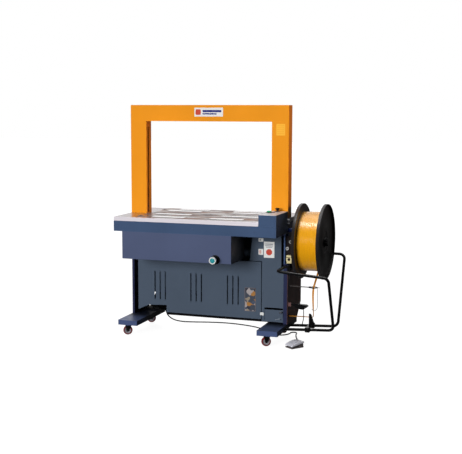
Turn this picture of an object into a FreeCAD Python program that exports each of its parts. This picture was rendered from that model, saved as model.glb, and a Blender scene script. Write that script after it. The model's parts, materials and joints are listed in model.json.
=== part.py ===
import FreeCAD, Part
import math
import os

# Arch strapping machine on a wheeled stand, with a strap reel on its right side.
# Working axes: X to the right, Y to the rear, Z up; X = 0 and Y = 0 at the middle of the arch,
# Z = 0 on the floor. Everything is moved by (-SHIFT_X, -SHIFT_Y) when it is written.

V = FreeCAD.Vector

# ---- driving dimensions (mm) ----
ARCH_OPEN_W, ARCH_OPEN_H = 850.0, 600.0      # clear passage under the arch
ARCH_LEG_W, ARCH_BEAM_H, ARCH_DEPTH = 110.0, 104.0, 80.0
ARCH_SKIN = 2.0
TABLE_Z, TABLE_DEPTH = 778.0, 628.0
RIM_H, APRON_H, SHEET = 25.0, 66.0, 2.0
BODY_FRONT, BODY_REAR, BODY_BOTTOM = -40.0, 304.0, 108.0
FOOT_W, FOOT_FRONT, FOOT_REAR = 133.0, -266.0, 211.0
FOOT_BOTTOM, FOOT_TOP, FOOT_X = 70.0, 102.0, 468.0
REEL_Y, REEL_Z, REEL_R, COIL_R = -6.0, 637.0, 236.0, 186.0
REEL_IN, REEL_OUT, REEL_LIP = 624.0, 763.0, 16.0
STAND_X, TUBE_R = 844.0, 9.0
TUBE_LOW, TUBE_HIGH = 80.0, 96.0                # the lower tubes rise from the foot to the outer bend
STRAP_W, STRAP_T, STRAP_Y = 12.0, 0.8, -8.0
CASTER_Y = (-221.0, 166.0)
WHEEL_R, WHEEL_W, CASTER_TRAIL = 30.0, 22.0, 16.0
FIT = 0.05                                    # radial clearance of a running fit

HALF_W = ARCH_OPEN_W / 2 + ARCH_LEG_W         # 535
OPEN_X = ARCH_OPEN_W / 2                      # 425
HALF_D = TABLE_DEPTH / 2                      # 314
APRON_TOP = TABLE_Z - RIM_H                   # 753
APRON_BOTTOM = APRON_TOP - APRON_H            # 687
ARCH_UNDER = TABLE_Z + ARCH_OPEN_H            # 1378
ARCH_TOP = ARCH_UNDER + ARCH_BEAM_H           # 1482
BUTTON_FRONT = -HALF_D - 56.0                 # foremost point: the start button's face
SHIFT_X = (STAND_X + TUBE_R - HALF_W) / 2
SHIFT_Y = (BUTTON_FRONT + HALF_D) / 2

nodes = {}


# ---- small helpers ----
def box(x0, x1, y0, y1, z0, z1):
    return Part.makeBox(x1 - x0, y1 - y0, z1 - z0, V(x0, y0, z0))


def cyl(radius, start, end):
    start, end = V(*start), V(*end)
    return Part.makeCylinder(radius, start.distanceToPoint(end), start, end - start)


def ring(outer, inner, start, end):
    return cyl(outer, start, end).cut(cyl(inner, start, end))


def prism(points, direction):
    wire = Part.makePolygon([V(*p) for p in points] + [V(*points[0])])
    return Part.Face(wire).extrude(V(*direction))


def hollow(x0, x1, y0, y1, z0, z1, wall, open_side):
    """Sheet-metal box with one side left open: open_side is one of -x +x -y +y -z +z."""
    low, high = [x0 + wall, y0 + wall, z0 + wall], [x1 - wall, y1 - wall, z1 - wall]
    axis = "xyz".index(open_side[1])
    if open_side[0] == "+":
        high[axis] += 2 * wall
    else:
        low[axis] -= 2 * wall
    return box(x0, x1, y0, y1, z0, z1).cut(box(low[0], high[0], low[1], high[1], low[2], high[2]))


def fuse(shapes):
    return shapes[0].fuse(shapes[1:]).removeSplitter() if len(shapes) > 1 else shapes[0]


def group(shapes):
    return Part.makeCompound(shapes)


def round_edges(shape, radius, test):
    """Fillet the edges whose middle point passes the test."""
    edges = []
    for edge in shape.Edges:
        middle = edge.valueAt((edge.FirstParameter + edge.LastParameter) / 2)
        if edge.Length > 1.5 and test(edge, middle):
            edges.append(edge)
    return shape.makeFillet(radius, edges)


def is_vertical(edge, _middle):
    return abs(edge.tangentAt(edge.FirstParameter).z) > 0.99


def bent_path(points, radius=None, print_radii=False):
    """Straight runs joined by tangent arcs; the radius is fixed or 0.45 of the shorter run."""
    pts = [V(*p) for p in points]
    edges, start = [], pts[0]
    radii = []
    for before, corner, after in zip(pts, pts[1:], pts[2:]):
        into, out = (corner - before).normalize(), (after - corner).normalize()
        turn = into.getAngle(out)
        shorter = min(corner.distanceToPoint(before), corner.distanceToPoint(after))
        r = radius if radius else 0.45 * shorter / math.tan(turn / 2)
        back = r * math.tan(turn / 2)
        a, b = corner - into * back, corner + out * back
        bisector = (out - into).normalize()
        centre = corner + bisector * (r / math.cos(turn / 2))
        middle = centre - bisector * r
        edges.append(Part.LineSegment(start, a).toShape())
        edges.append(Part.Arc(a, middle, b).toShape())
        start = b
        radii.append(r)
    edges.append(Part.LineSegment(start, pts[-1]).toShape())
    if print_radii:
        print("bend radii", [round(r) for r in radii])
    return Part.Wire(edges)


def tube_along(path, radius):
    first = path.OrderedEdges[0]
    start = first.valueAt(first.FirstParameter)
    direction = first.tangentAt(first.FirstParameter)
    profile = Part.Wire(Part.Circle(start, direction, radius).toShape())
    return path.makePipeShell([profile], True, False)


def place(shape, angle, position):
    """Turn a shape about Z, in degrees, and move it to a position."""
    moved = shape.copy()
    moved.Placement = FreeCAD.Placement(V(*position), FreeCAD.Rotation(V(0, 0, 1), angle))
    return Part.makeCompound(moved.Solids) if len(moved.Solids) > 1 else moved


# ---- stand: feet, frame, casters ----
def make_feet():
    feet = []
    for side in (-1, 1):
        x0, x1 = side * FOOT_X - FOOT_W / 2, side * FOOT_X + FOOT_W / 2
        foot = hollow(x0, x1, FOOT_FRONT, FOOT_REAR, FOOT_BOTTOM, FOOT_TOP, 4.0, "-z")
        feet.append(round_edges(foot, 3.0, lambda e, m: is_vertical(e, m)
                                and (m.x < x0 + 1 or m.x > x1 - 1)))
    return group(feet)


POST_STUB_Z = 490.0                           # the right front post ends below the strap feeder
LEFT_POST, RIGHT_POST = 14.0, 23.0             # widths of the posts on each side
TAIL_Z = 190.0                                # the body's rear rises from the feet to this height


def make_frame():
    """Four posts, side rails, cross rails and a shoulder plate, welded end to face."""
    post_d, rail = 30.0, 24.0
    inner = {-1: HALF_W - SHEET - LEFT_POST, 1: HALF_W - SHEET - RIGHT_POST}
    solids = []
    front, rear = BODY_FRONT + post_d, BODY_REAR - post_d
    for side in (-1, 1):
        xa, xb = sorted((side * inner[side], side * (HALF_W - SHEET)))
        post_top = POST_STUB_Z if side > 0 else APRON_BOTTOM
        solids.append(box(xa, xb, BODY_FRONT, front, FOOT_TOP, post_top))
        solids.append(box(xa, xb, rear, BODY_REAR, TAIL_Z, APRON_BOTTOM))
        solids.append(box(xa, xb, front, FOOT_REAR - 4, FOOT_TOP, FOOT_TOP + rail))
        solids.append(box(xa, xb, front, rear, TAIL_Z, TAIL_Z + rail))
        solids.append(box(xa, xb, front, rear, APRON_BOTTOM - rail, APRON_BOTTOM))
    for y0, y1, z0 in ((BODY_FRONT + 8.0, BODY_FRONT + 26.0, APRON_BOTTOM - rail),
                       (BODY_REAR - 26.0, BODY_REAR - 8.0, APRON_BOTTOM - rail),
                       (BODY_REAR - 28.0, BODY_REAR - 8.0, TAIL_Z)):
        solids.append(box(-inner[-1], inner[1], y0, y1, z0, z0 + rail))
    solids.append(box(HALF_W - 8, HALF_W - SHEET, -48, 94, APRON_BOTTOM, APRON_TOP))
    return group(solids)


def make_casters():
    """Swivel casters: a plate bolted under the foot, a fork and a wheel on an axle."""
    plate_top = FOOT_TOP - 4.0
    stem_r, head_z = 9.0, 84.0
    names = {(-1, 0): "front_left", (1, 0): "front_right", (-1, 1): "rear_left", (1, 1): "rear_right"}
    headings = {(-1, 0): 20.0, (1, 0): 25.0, (-1, 1): 20.0, (1, 1): 75.0}
    plates = []
    for (side, row), name in names.items():
        cx, cy, heading = side * FOOT_X, CASTER_Y[row], headings[(side, row)]
        plate = box(-30, 30, -36, 36, plate_top - 4, plate_top)
        race = cyl(20, (0, 0, head_z + 5), (0, 0, plate_top - 4)).cut(
            cyl(stem_r + FIT, (0, 0, head_z), (0, 0, plate_top)))
        race = race.fuse(plate.cut(cyl(stem_r + FIT, (0, 0, head_z), (0, 0, plate_top + 1))))
        plates.append(place(race.removeSplitter(), 0, (cx, cy, 0)))

        half_gap = WHEEL_W / 2 + 1.5
        crown = cyl(19, (0, 0, head_z - 8), (0, 0, head_z + 4.5))
        stem = cyl(stem_r, (0, 0, head_z), (0, 0, plate_top - 0.5))
        bridge = box(-18 - CASTER_TRAIL, 16, -half_gap - 3, half_gap + 3, head_z - 12, head_z - 8)
        parts = [crown, stem, bridge]
        for s in (-1, 1):
            y0, y1 = sorted((s * half_gap, s * (half_gap + 3)))
            cheek = prism([(-34, y0, head_z - 8), (16, y0, head_z - 8), (2 - CASTER_TRAIL, y0, WHEEL_R - 8),
                           (-8 - CASTER_TRAIL, y0, WHEEL_R - 8)], (0, y1 - y0, 0))
            parts.append(cheek)
        axle = cyl(4, (-CASTER_TRAIL, -half_gap - 5, WHEEL_R), (-CASTER_TRAIL, half_gap + 5, WHEEL_R))
        fork = fuse(parts + [axle])
        nodes["caster_fork_" + name] = place(fork, heading, (cx, cy, 0))

        wheel = ring(WHEEL_R, 4 + FIT, (-CASTER_TRAIL, -WHEEL_W / 2, WHEEL_R),
                     (-CASTER_TRAIL, WHEEL_W / 2, WHEEL_R))
        nodes["caster_wheel_" + name] = place(round_edges(
            wheel, 3.0, lambda e, m: abs(e.Length - 2 * math.pi * WHEEL_R) < 1), heading, (cx, cy, 0))
    nodes["caster_plates"] = group(plates)


# ---- body covers ----
PANEL_L, PANEL_R, PANEL_TOP = -490.0, 362.0, 494.0
LOUVRE_X = (-341.0, -88.0, 164.0)
LOUVRE_PITCH, LOUVRE_LOW, LOUVRE_HIGH = 36.5, 210.0, 392.0


def louvres(plate, xs, y_face, out, z0, z1):
    """Cut a slot at each x and cover it with a pressed hood that stands out by 6 mm."""
    hoods = []
    for x in xs:
        plate = plate.cut(box(x - 6, x + 12, y_face - 5, y_face + 5, z0, z1))
        hoods.append(prism([(x - 7.5, y_face, z0 - 4), (x + 7, y_face + out * 6, z0 - 4),
                            (x + 7, y_face + out * 7.5, z0 - 4), (x - 9, y_face, z0 - 4)],
                           (0, 0, z1 - z0 + 8)))
        hoods.append(prism([(x - 8, y_face, z0 - 4), (x + 7, y_face, z0 - 4),
                            (x + 7, y_face + out * 7.5, z0 - 4)], (0, 0, 1.5)))
        hoods.append(prism([(x - 8, y_face, z1 + 2.5), (x + 7, y_face, z1 + 2.5),
                            (x + 7, y_face + out * 7.5, z1 + 2.5)], (0, 0, 1.5)))
    return fuse([plate] + hoods)


def make_front_panel():
    y = BODY_FRONT
    outline = [(PANEL_L, y, 131), (-416, y, 166), (-288, y, 172), (-288, y, 124),
               (PANEL_R, y, 124), (PANEL_R, y, PANEL_TOP), (PANEL_L, y, PANEL_TOP)]
    plate = prism(outline, (0, SHEET, 0))
    xs = [cx + k * LOUVRE_PITCH for cx in LOUVRE_X for k in (-1, 0, 1)]
    return louvres(plate, xs, y, -1, LOUVRE_LOW, LOUVRE_HIGH)


def make_rear_panel():
    y = BODY_REAR
    plate = box(-HALF_W + SHEET, HALF_W - SHEET, y, y + SHEET, TAIL_Z, APRON_BOTTOM)
    xs = [cx + k * LOUVRE_PITCH for cx in (-300.0, 0.0, 300.0) for k in (-1, 0, 1)]
    return louvres(plate, xs, y + SHEET, 1, 420, 600)


ENTRY_Y, ENTRY_Z = 0.0, 150.0                 # where the strap goes into the right side
LEVER_PIVOT = (550.0, -16.0, 229.0)


def make_side_covers():
    """Left cover to full height; the right one has a strap slot and a lever bracket."""
    def side(x0, top, front_top):
        outline = [(x0, BODY_FRONT + 2, FOOT_TOP), (x0, FOOT_REAR, FOOT_TOP),
                   (x0, BODY_REAR + SHEET, TAIL_Z), (x0, BODY_REAR + SHEET, top),
                   (x0, BODY_FRONT + 2, front_top)]
        return prism(outline, (SHEET, 0, 0))
    slot = box(HALF_W - 5, HALF_W + 5, ENTRY_Y - 12, ENTRY_Y + 12, ENTRY_Z - 14, ENTRY_Z + 14)
    right = side(HALF_W - SHEET, 440, 440).cut(slot)
    x, y, z = LEVER_PIVOT
    ear = box(HALF_W, x + 6, y - 10, y - 6, z - 12, z + 12)
    pin = cyl(3, (x, y - 6, z), (x, y + 8, z))
    return group([side(-HALF_W, APRON_BOTTOM, APRON_BOTTOM), right, fuse([ear, pin])])


def make_base_tray():
    x0, z = -HALF_W + 26, BODY_BOTTOM
    tray = prism([(x0, BODY_FRONT + 3, z), (x0, FOOT_REAR, z), (x0, BODY_REAR, TAIL_Z - 4),
                  (x0, BODY_REAR, TAIL_Z - 0.3), (x0, FOOT_REAR - 1.5, z + 3), (x0, BODY_FRONT + 3, z + 3)],
                 (2 * (HALF_W - 26), 0, 0))
    lip = box(-288, PANEL_R, BODY_FRONT + 1, BODY_FRONT + 3, BODY_BOTTOM, BODY_BOTTOM + 15.5)
    cheek = box(-289, -287, BODY_FRONT + 2.5, 90, BODY_BOTTOM, 172)
    tray = tray.fuse(lip).cut(box(-HALF_W, -289, BODY_FRONT, 90, 0, 200)).fuse(cheek)
    return tray.cut(cyl(6.5, (GLAND[0], GLAND[1], 100), (GLAND[0], GLAND[1], 130))).removeSplitter()


COLUMN_R, CUT_X, CUT_Z, SEAM = 509.5, 493.0, 456.0, 5.0
DOOR = (386.0, 508.0, 116.0, 191.0)           # service door: x0, x1, z0, z1
DOOR_AXIS = (384.5, BODY_FRONT - 3.4)         # its hinge pins, x and y
DOOR_BARRELS, BARREL_H, DOOR_GAP = (128.0, 160.0), 16.0, 12.0


def make_column_cover():
    """Right front cover, with a slanted edge beside the access opening and a cut-away corner."""
    y = BODY_FRONT
    outline = [(PANEL_R + SEAM, y, 112), (COLUMN_R, y, 112), (COLUMN_R, y, CUT_Z), (CUT_X, y, CUT_Z + 10),
               (CUT_X, y, APRON_BOTTOM), (306, y, APRON_BOTTOM), (285, y, PANEL_TOP + SEAM),
               (PANEL_R + SEAM, y, PANEL_TOP + SEAM)]
    plate = prism(outline, (0, SHEET, 0))
    x0, x1, z0, z1 = DOOR
    plate = plate.cut(box(x0 - 1, x1 + 0.5, y - 1, y + 5, z0 - 1, z1 + DOOR_GAP))
    hx, hy = DOOR_AXIS
    knuckles = []
    for low in DOOR_BARRELS:
        knuckles.append(cyl(1.5, (hx, hy, low - 6.3), (hx, hy, low + BARREL_H + 6.3)))
        for z in (low - 6.3, low + BARREL_H + 0.3):
            knuckles += [cyl(3, (hx, hy, z), (hx, hy, z + 6)), box(hx - 3, hx, hy, y, z, z + 6)]
    plate = fuse([plate] + knuckles)
    sill = box(165, 300, y + 2, y + 30, PANEL_TOP - 8, PANEL_TOP - 6)
    return group([plate, sill])


def make_service_door():
    x0, x1, z0, z1 = DOOR
    y = BODY_FRONT
    door = box(x0, x1, y - 3, y - 1, z0, z1)
    knob = cyl(4, (x1 - 11, y - 14, 178), (x1 - 11, y - 3, 178)).fuse(
        cyl(8, (x1 - 11, y - 20, 178), (x1 - 11, y - 12, 178)))
    pull = box(x1 - 50, x1 - 14, y - 9, y - 3, 128, 142).cut(
        box(x1 - 45, x1 - 19, y - 10, y - 2, 132, 138))
    hx, hy = DOOR_AXIS
    for low in DOOR_BARRELS:
        for z in (low - 6.6, low + BARREL_H):
            door = door.cut(box(x0 - 1, hx + 3.7, y - 5, y, z, z + 6.6))
    barrels = [cyl(3, (hx, hy, z), (hx, hy, z + BARREL_H)) for z in DOOR_BARRELS]
    pins = [cyl(1.5 + FIT, (hx, hy, z - 1), (hx, hy, z + BARREL_H + 1)) for z in DOOR_BARRELS]
    return fuse([door, knob, pull] + barrels).cut(group(pins))


def make_aprons():
    y, x = HALF_D - SHEET, HALF_W - SHEET
    z0, z1 = APRON_BOTTOM, APRON_TOP
    front = box(-HALF_W + 0.5, HALF_W, -HALF_D + 0.5, -y + 0.5, z0, z1 - 0.5)
    rear = box(-HALF_W + 0.5, HALF_W - 0.5, y - 0.5, HALF_D - 0.5, z0, z1 - 0.5)
    left = box(-HALF_W + 0.5, -x + 0.5, -y + 0.5, y - 0.5, z0, z1 - 0.5)
    right_front = box(x, HALF_W, -y + 0.5, CONTROL_BACK, z0, z1 - 0.5)
    right_rear = box(x - 0.5, HALF_W - 0.5, 96, y - 0.5, z0, z1 - 0.5)
    return group([front, rear, left, right_front, right_rear])


# ---- table ----
LID_X0, LID_X1, LID_Y = 72.0, 400.0, 288.0
LID_T = 3.0
RIB_HALF = 30.0
RIB_ROWS = ((-225.0, 84.0, 300.0), (-60.0, 104.0, 352.0), (145.0, 108.0, 345.0), (243.0, 84.0, 300.0))
HINGE_X, HINGE_Z, HINGE_Y = 400.5, 779.0, (-200.0, 200.0)
CONTROL_X0, CONTROL_BACK, CONTROL_TOP = 424.0, -51.0, 822.0


def make_table():
    """Stainless perimeter plate with a turned-down rim, cut out for the lids and the head cover."""
    top = box(-HALF_W, HALF_W, -HALF_D, HALF_D, APRON_TOP, TABLE_Z)
    top = round_edges(top, 4.0, lambda e, m: is_vertical(e, m))
    inner = box(-HALF_W + 2.5, HALF_W - 2.5, -HALF_D + 2.5, HALF_D - 2.5, APRON_TOP - 1, TABLE_Z - LID_T)
    well = box(-LID_X1 - 1, LID_X1 + 1, -LID_Y - 1, LID_Y + 1, APRON_TOP, TABLE_Z + 1)
    knuckles = []
    for side in (-1, 1):
        for y in HINGE_Y:
            x = side * HINGE_X
            well = well.fuse(cyl(3.6, (x, y - 31, HINGE_Z), (x, y + 31, HINGE_Z)))
            knuckles.append(cyl(3, (x, y - 9.6, HINGE_Z), (x, y + 9.6, HINGE_Z)))
            xa, xb = sorted((x + side * 1.5, x + side * 12))
            knuckles.append(box(xa, xb, y - 9.6, y + 9.6, TABLE_Z - LID_T, TABLE_Z))
    corner = box(CONTROL_X0 - 0.5, HALF_W + 1, -HALF_D - 1, CONTROL_BACK + 0.5, APRON_TOP - 1, TABLE_Z + 1)
    table = top.cut(inner).cut(well).cut(corner)
    table = round_edges(table, 2.0, lambda e, m: abs(m.z - TABLE_Z) < 0.01
                        and (abs(m.y) > HALF_D - 0.01 or abs(m.x) > HALF_W - 0.01)
                        and not is_vertical(e, m) and e.Length > 100)
    return fuse([table] + knuckles)


def make_lid(side):
    """Lift-up lid with pressed ribs and a slot for the strap, open at its inner end."""
    lid = box(LID_X0, LID_X1, -LID_Y, LID_Y, TABLE_Z - LID_T, TABLE_Z)
    slot = box(LID_X0 - 1, LID_X1 - 14, STRAP_Y - 8, STRAP_Y + 8, TABLE_Z - 5, TABLE_Z + 1)
    ribs = [round_edges(box(x0, x1, y - RIB_HALF, y + RIB_HALF, TABLE_Z, TABLE_Z + 2), 14.0, is_vertical)
            for y, x0, x1 in RIB_ROWS]
    lid = fuse([lid.cut(slot)] + ribs)
    pins = []
    for y in HINGE_Y:
        lid = lid.cut(cyl(3.6, (HINGE_X, y - 10, HINGE_Z), (HINGE_X, y + 10, HINGE_Z)))
        pins += [cyl(3, (HINGE_X, y0, HINGE_Z), (HINGE_X, y0 + 20, HINGE_Z)) for y0 in (y - 30, y + 10)]
    lid = fuse([lid] + pins)
    return lid if side > 0 else lid.mirror(V(0, 0, 0), V(1, 0, 0))


def make_head_cover():
    """Fixed plate between the lids, over the sealing head, with the strap slot along X."""
    x = LID_X0 - 1
    cover = box(-x, x, -LID_Y, LID_Y, TABLE_Z - LID_T, TABLE_Z)
    cover = cover.cut(box(-x - 1, x + 1, STRAP_Y - 8, STRAP_Y + 8, 0, TABLE_Z + 1))
    plates = list(cover.Solids)
    for y in (-LID_Y + 20, LID_Y - 20):
        plates.append(box(-x, x, y - 12, y + 12, TABLE_Z - LID_T - 22, TABLE_Z - LID_T))
    return group(plates)


# ---- arch ----
SLOT_HALF = 9.0


def make_arch_leg(side):
    """Hollow sheet-metal leg with a slot for the strap on its inner face."""
    y = ARCH_DEPTH / 2
    leg = box(OPEN_X, HALF_W, -y, y, TABLE_Z, ARCH_UNDER)
    leg = leg.cut(box(OPEN_X + ARCH_SKIN, HALF_W - ARCH_SKIN, -y + ARCH_SKIN, y - ARCH_SKIN,
                      TABLE_Z - 1, ARCH_UNDER + 1))
    leg = leg.cut(box(OPEN_X - 1, OPEN_X + 5, STRAP_Y - SLOT_HALF, STRAP_Y + SLOT_HALF,
                      TABLE_Z + 4, ARCH_UNDER - 36))
    leg = round_edges(leg, 3.0, lambda e, m: is_vertical(e, m) and m.x > HALF_W - 0.1)
    return leg if side > 0 else leg.mirror(V(0, 0, 0), V(1, 0, 0))


def make_arch_beam():
    y = ARCH_DEPTH / 2
    beam = box(-HALF_W, HALF_W, -y, y, ARCH_UNDER, ARCH_TOP)
    beam = beam.cut(box(-HALF_W + ARCH_SKIN, HALF_W - ARCH_SKIN, -y + ARCH_SKIN, y - ARCH_SKIN,
                        ARCH_UNDER + ARCH_SKIN, ARCH_TOP - ARCH_SKIN))
    for side in (-1, 1):
        x0, x1 = sorted((side * (OPEN_X + 4), side * (HALF_W - 4)))
        beam = beam.cut(box(x0, x1, -y + 4, y - 4, ARCH_UNDER - 1, ARCH_UNDER + 3))
    beam = beam.cut(box(-OPEN_X + 36, OPEN_X - 36, STRAP_Y - SLOT_HALF, STRAP_Y + SLOT_HALF,
                        ARCH_UNDER - 1, ARCH_UNDER + 5))
    return round_edges(beam, 3.0, lambda e, m: m.z > ARCH_TOP - 0.01 or
                       (abs(m.x) > HALF_W - 0.01 and is_vertical(e, m)))


def make_strap_track():
    """Black channel behind the slots of the arch and below the slots of the table."""
    y0, y1 = STRAP_Y - 13, STRAP_Y + 13
    g0, g1 = STRAP_Y - 7, STRAP_Y + 7
    x0, x1 = OPEN_X + ARCH_SKIN + 0.2, OPEN_X + 20
    solids = []
    for side in (-1, 1):
        leg = box(x0, x1, y0, y1, TABLE_Z + 2, ARCH_UNDER - 2).cut(
            box(x0 - 1, x1 - 6, g0, g1, TABLE_Z, ARCH_UNDER))
        table = box(LID_X0 + 1, OPEN_X - 2, y0, y1, TABLE_Z - 36, TABLE_Z - 8).cut(
            box(LID_X0, OPEN_X, g0, g1, TABLE_Z - 24, TABLE_Z))
        for solid in (leg, table):
            solids.append(solid if side > 0 else solid.mirror(V(0, 0, 0), V(1, 0, 0)))
    top = box(-OPEN_X + 2, OPEN_X - 2, y0, y1, ARCH_UNDER + ARCH_SKIN + 0.2, ARCH_UNDER + 20).cut(
        box(-OPEN_X, OPEN_X, g0, g1, ARCH_UNDER, ARCH_UNDER + 14))
    return group(solids + [top])


def make_track_gates():
    """Spring-loaded strips that close the strap groove and slide back to let the strap out."""
    y0, y1 = STRAP_Y - 6.7, STRAP_Y - 0.7
    solids = []
    for side in (-1, 1):
        strip = box(OPEN_X + 5, OPEN_X + 7, y0, y1, TABLE_Z + 8, ARCH_UNDER - 40)
        solids.append(strip if side > 0 else strip.mirror(V(0, 0, 0), V(1, 0, 0)))
    solids.append(box(-OPEN_X + 40, OPEN_X - 40, y0, y1, ARCH_UNDER + 5, ARCH_UNDER + 7))
    return group(solids)


def make_blank_plates():
    """Blank plates: one on the beam, one on the right leg, and four on the front covers."""
    y = -ARCH_DEPTH / 2
    face = BODY_FRONT
    plates = [box(-90, 103, y - 1.0, y, 1409, 1465), box(454, 510, y - 0.5, y, 1294, 1365)]
    for x0, x1, z0, z1 in ((253, 326, 171, 323), (379, 448, 523, 626), (343, 375, 624, 646),
                           (343, 374, 540, 577)):
        plates.append(box(x0, x1, face - 0.8, face, z0, z1))
    return group(plates)


# ---- electric box and controls ----
EBOX = (-478.0, 252.0, -HALF_D + 1.0, -62.0, 512.0, APRON_BOTTOM)
START_X, START_Z = 150.0, 538.0


def make_electric_box():
    """Cabinet hung under the front of the table: a folded tub and a screwed rear cover."""
    x0, x1, y0, y1, z0, z1 = EBOX
    tub = hollow(x0, x1, y0, y1, z0, z1, SHEET, "+y")
    tub = round_edges(tub, 3.0, lambda e, m: m.y < y0 + 0.01 and m.z < z0 + 0.01
                      or is_vertical(e, m) and m.y < y0 + 0.01)
    tub = tub.cut(cyl(12.5, (START_X, y0 - 5, START_Z), (START_X, y0 + 5, START_Z)))
    cover = box(x0, x1, y1, y1 + SHEET, z0, z1)
    board = box(x0 + 60, x1 - 90, y1 - 30, y1 - 26, z0 + 20, z1 - 20)
    feet = [cyl(4, (x, y1 - 26, z), (x, y1, z)) for x in (x0 + 70, x1 - 100) for z in (z0 + 30, z1 - 30)]
    return group([tub, cover, fuse([board] + feet)])


def make_button_collars():
    """Collars that the start button, power button, stop button and knob sit in."""
    y0 = EBOX[2]
    start = ring(28, 15 + 0.4, (START_X, y0 - 8, START_Z), (START_X, y0, START_Z))
    start = start.fuse(ring(19, 15 + 0.4, (START_X, y0 - 38, START_Z), (START_X, y0 - 8, START_Z)))
    barrel = ring(12, 6 + FIT, (START_X, y0, START_Z), (START_X, y0 + 24, START_Z))
    start = start.fuse(ring(20, 6 + FIT, (START_X, y0 - 4, START_Z), (START_X, y0, START_Z))).fuse(barrel)
    solids = [start.removeSplitter()]
    for x, y, r, bore in PANEL_BUTTONS:
        solids.append(ring(r + 3, bore + FIT, (x, y, CONTROL_TOP + 2), (x, y, CONTROL_TOP + 5)))
    return group(solids)


PANEL_BUTTONS = ((450.0, -172.0, 15.0, 6.0), (471.0, -146.0, 7.0, 3.0), (478.0, -84.0, 14.0, 4.0))


def make_start_button():
    y0 = EBOX[2]
    cap = cyl(23, (START_X, BUTTON_FRONT, START_Z), (START_X, y0 - 44, START_Z))
    cap = round_edges(cap, 2.5, lambda e, m: m.y < BUTTON_FRONT + 0.01)
    neck = cyl(15, (START_X, y0 - 44, START_Z), (START_X, y0 - 12, START_Z))
    stem = cyl(6, (START_X, y0 - 12, START_Z), (START_X, y0 + 20, START_Z))
    return cap.fuse([neck, stem]).removeSplitter()


def make_panel_button(index, height):
    """Cap and stem of a button that goes through the control box's top plate."""
    x, y, r, bore = PANEL_BUTTONS[index]
    z = CONTROL_TOP + 2
    cap = cyl(r, (x, y, z + 6), (x, y, z + 6 + height))
    cap = round_edges(cap, min(2.0, r / 3), lambda e, m: m.z > z + 5.99 + height)
    return cap.fuse(cyl(bore, (x, y, z - 12), (x, y, z + 6))).removeSplitter()


def make_control_box():
    """Riser at the right front corner that carries the buttons; open below into the apron."""
    box_ = hollow(CONTROL_X0, HALF_W, -HALF_D, CONTROL_BACK, APRON_TOP, CONTROL_TOP, SHEET, "-z")
    return box_.cut(box(CONTROL_X0 + 8, HALF_W - 8, -HALF_D + 8, CONTROL_BACK - 8,
                        CONTROL_TOP - 5, CONTROL_TOP + 1))


def make_control_top():
    plate = box(CONTROL_X0, HALF_W, -HALF_D, CONTROL_BACK, CONTROL_TOP, CONTROL_TOP + 2)
    plate = round_edges(plate, 3.0, is_vertical)
    for x, y, _r, bore in PANEL_BUTTONS:
        plate = plate.cut(cyl(bore + FIT, (x, y, CONTROL_TOP - 5), (x, y, CONTROL_TOP + 5)))
    return plate


# ---- strap reel ----
SHAFT_R, HUB_R = 12.0, 60.0


def make_reel():
    y, z = REEL_Y, REEL_Z
    inner_face, outer_face = REEL_IN, REEL_OUT

    def flange(x0, x1, lip_to):
        disc = ring(REEL_R - 2, SHAFT_R + FIT, (x0, y, z), (x1, y, z))
        lip = ring(REEL_R, REEL_R - 2, (min(x0, lip_to), y, z), (max(x1, lip_to), y, z))
        ribs = [box(min(x0, lip_to * 0.4 + x0 * 0.6), max(x1, lip_to * 0.4 + x1 * 0.6), 66, 190, -3, 3)
                .rotate(V(0, 0, 0), V(1, 0, 0), 60 * k).translate(V(0, y, z)) for k in range(6)]
        return fuse([disc, lip] + ribs)
    core = ring(HUB_R, SHAFT_R + FIT, (inner_face + 3, y, z), (outer_face - 3.5, y, z))
    core = core.cut(ring(HUB_R - 4, SHAFT_R + 6, (inner_face + 8, y, z), (outer_face, y, z)))
    nodes["reel_flange_inner"] = fuse([flange(inner_face, inner_face + 3, inner_face - REEL_LIP), core])
    nodes["reel_flange_outer"] = flange(outer_face - 3, outer_face, outer_face + REEL_LIP)
    nodes["strap_coil"] = ring(COIL_R, HUB_R + 0.2, (inner_face + 3.5, y, z), (outer_face - 3.5, y, z))
    grip = cyl(26, (outer_face + 8, y, z), (outer_face + 24, y, z))
    notches = [cyl(5, (outer_face + 7, y + 28 * math.cos(a), z + 28 * math.sin(a)),
                   (outer_face + 25, y + 28 * math.cos(a), z + 28 * math.sin(a)))
               for a in [k * math.pi / 4 for k in range(8)]]
    washer = ring(34, SHAFT_R + FIT, (outer_face + 0.3, y, z), (outer_face + 8, y, z))
    knob = fuse([grip.cut(group(notches)), washer])
    nodes["reel_knob"] = knob.cut(cyl(SHAFT_R + FIT, (outer_face, y, z), (outer_face + 12, y, z)))
    shaft = cyl(SHAFT_R, (HALF_W - 20, y, z), (outer_face + 11, y, z))
    collar = ring(20, SHAFT_R, (inner_face - REEL_LIP - 8, y, z), (inner_face - REEL_LIP + 14.5, y, z))
    nodes["reel_shaft"] = fuse([shaft, collar])


def make_reel_bracket():
    """Bearing block on a plate that spans the right side of the frame."""
    block = ring(19, SHAFT_R, (HALF_W - 10, REEL_Y, REEL_Z), (HALF_W + 42, REEL_Y, REEL_Z))
    plate = box(HALF_W - 16, HALF_W - 10, PLATE_Y, 274, 596, 662).cut(
        cyl(SHAFT_R, (500, REEL_Y, REEL_Z), (560, REEL_Y, REEL_Z)))
    return fuse([plate, block])


# ---- tube stand round the reel ----
TUBE_IN_X = 524.0
TUBE_START = FOOT_X + FOOT_W / 2 - 3          # a little inside the foot, then cut flush with it


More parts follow.
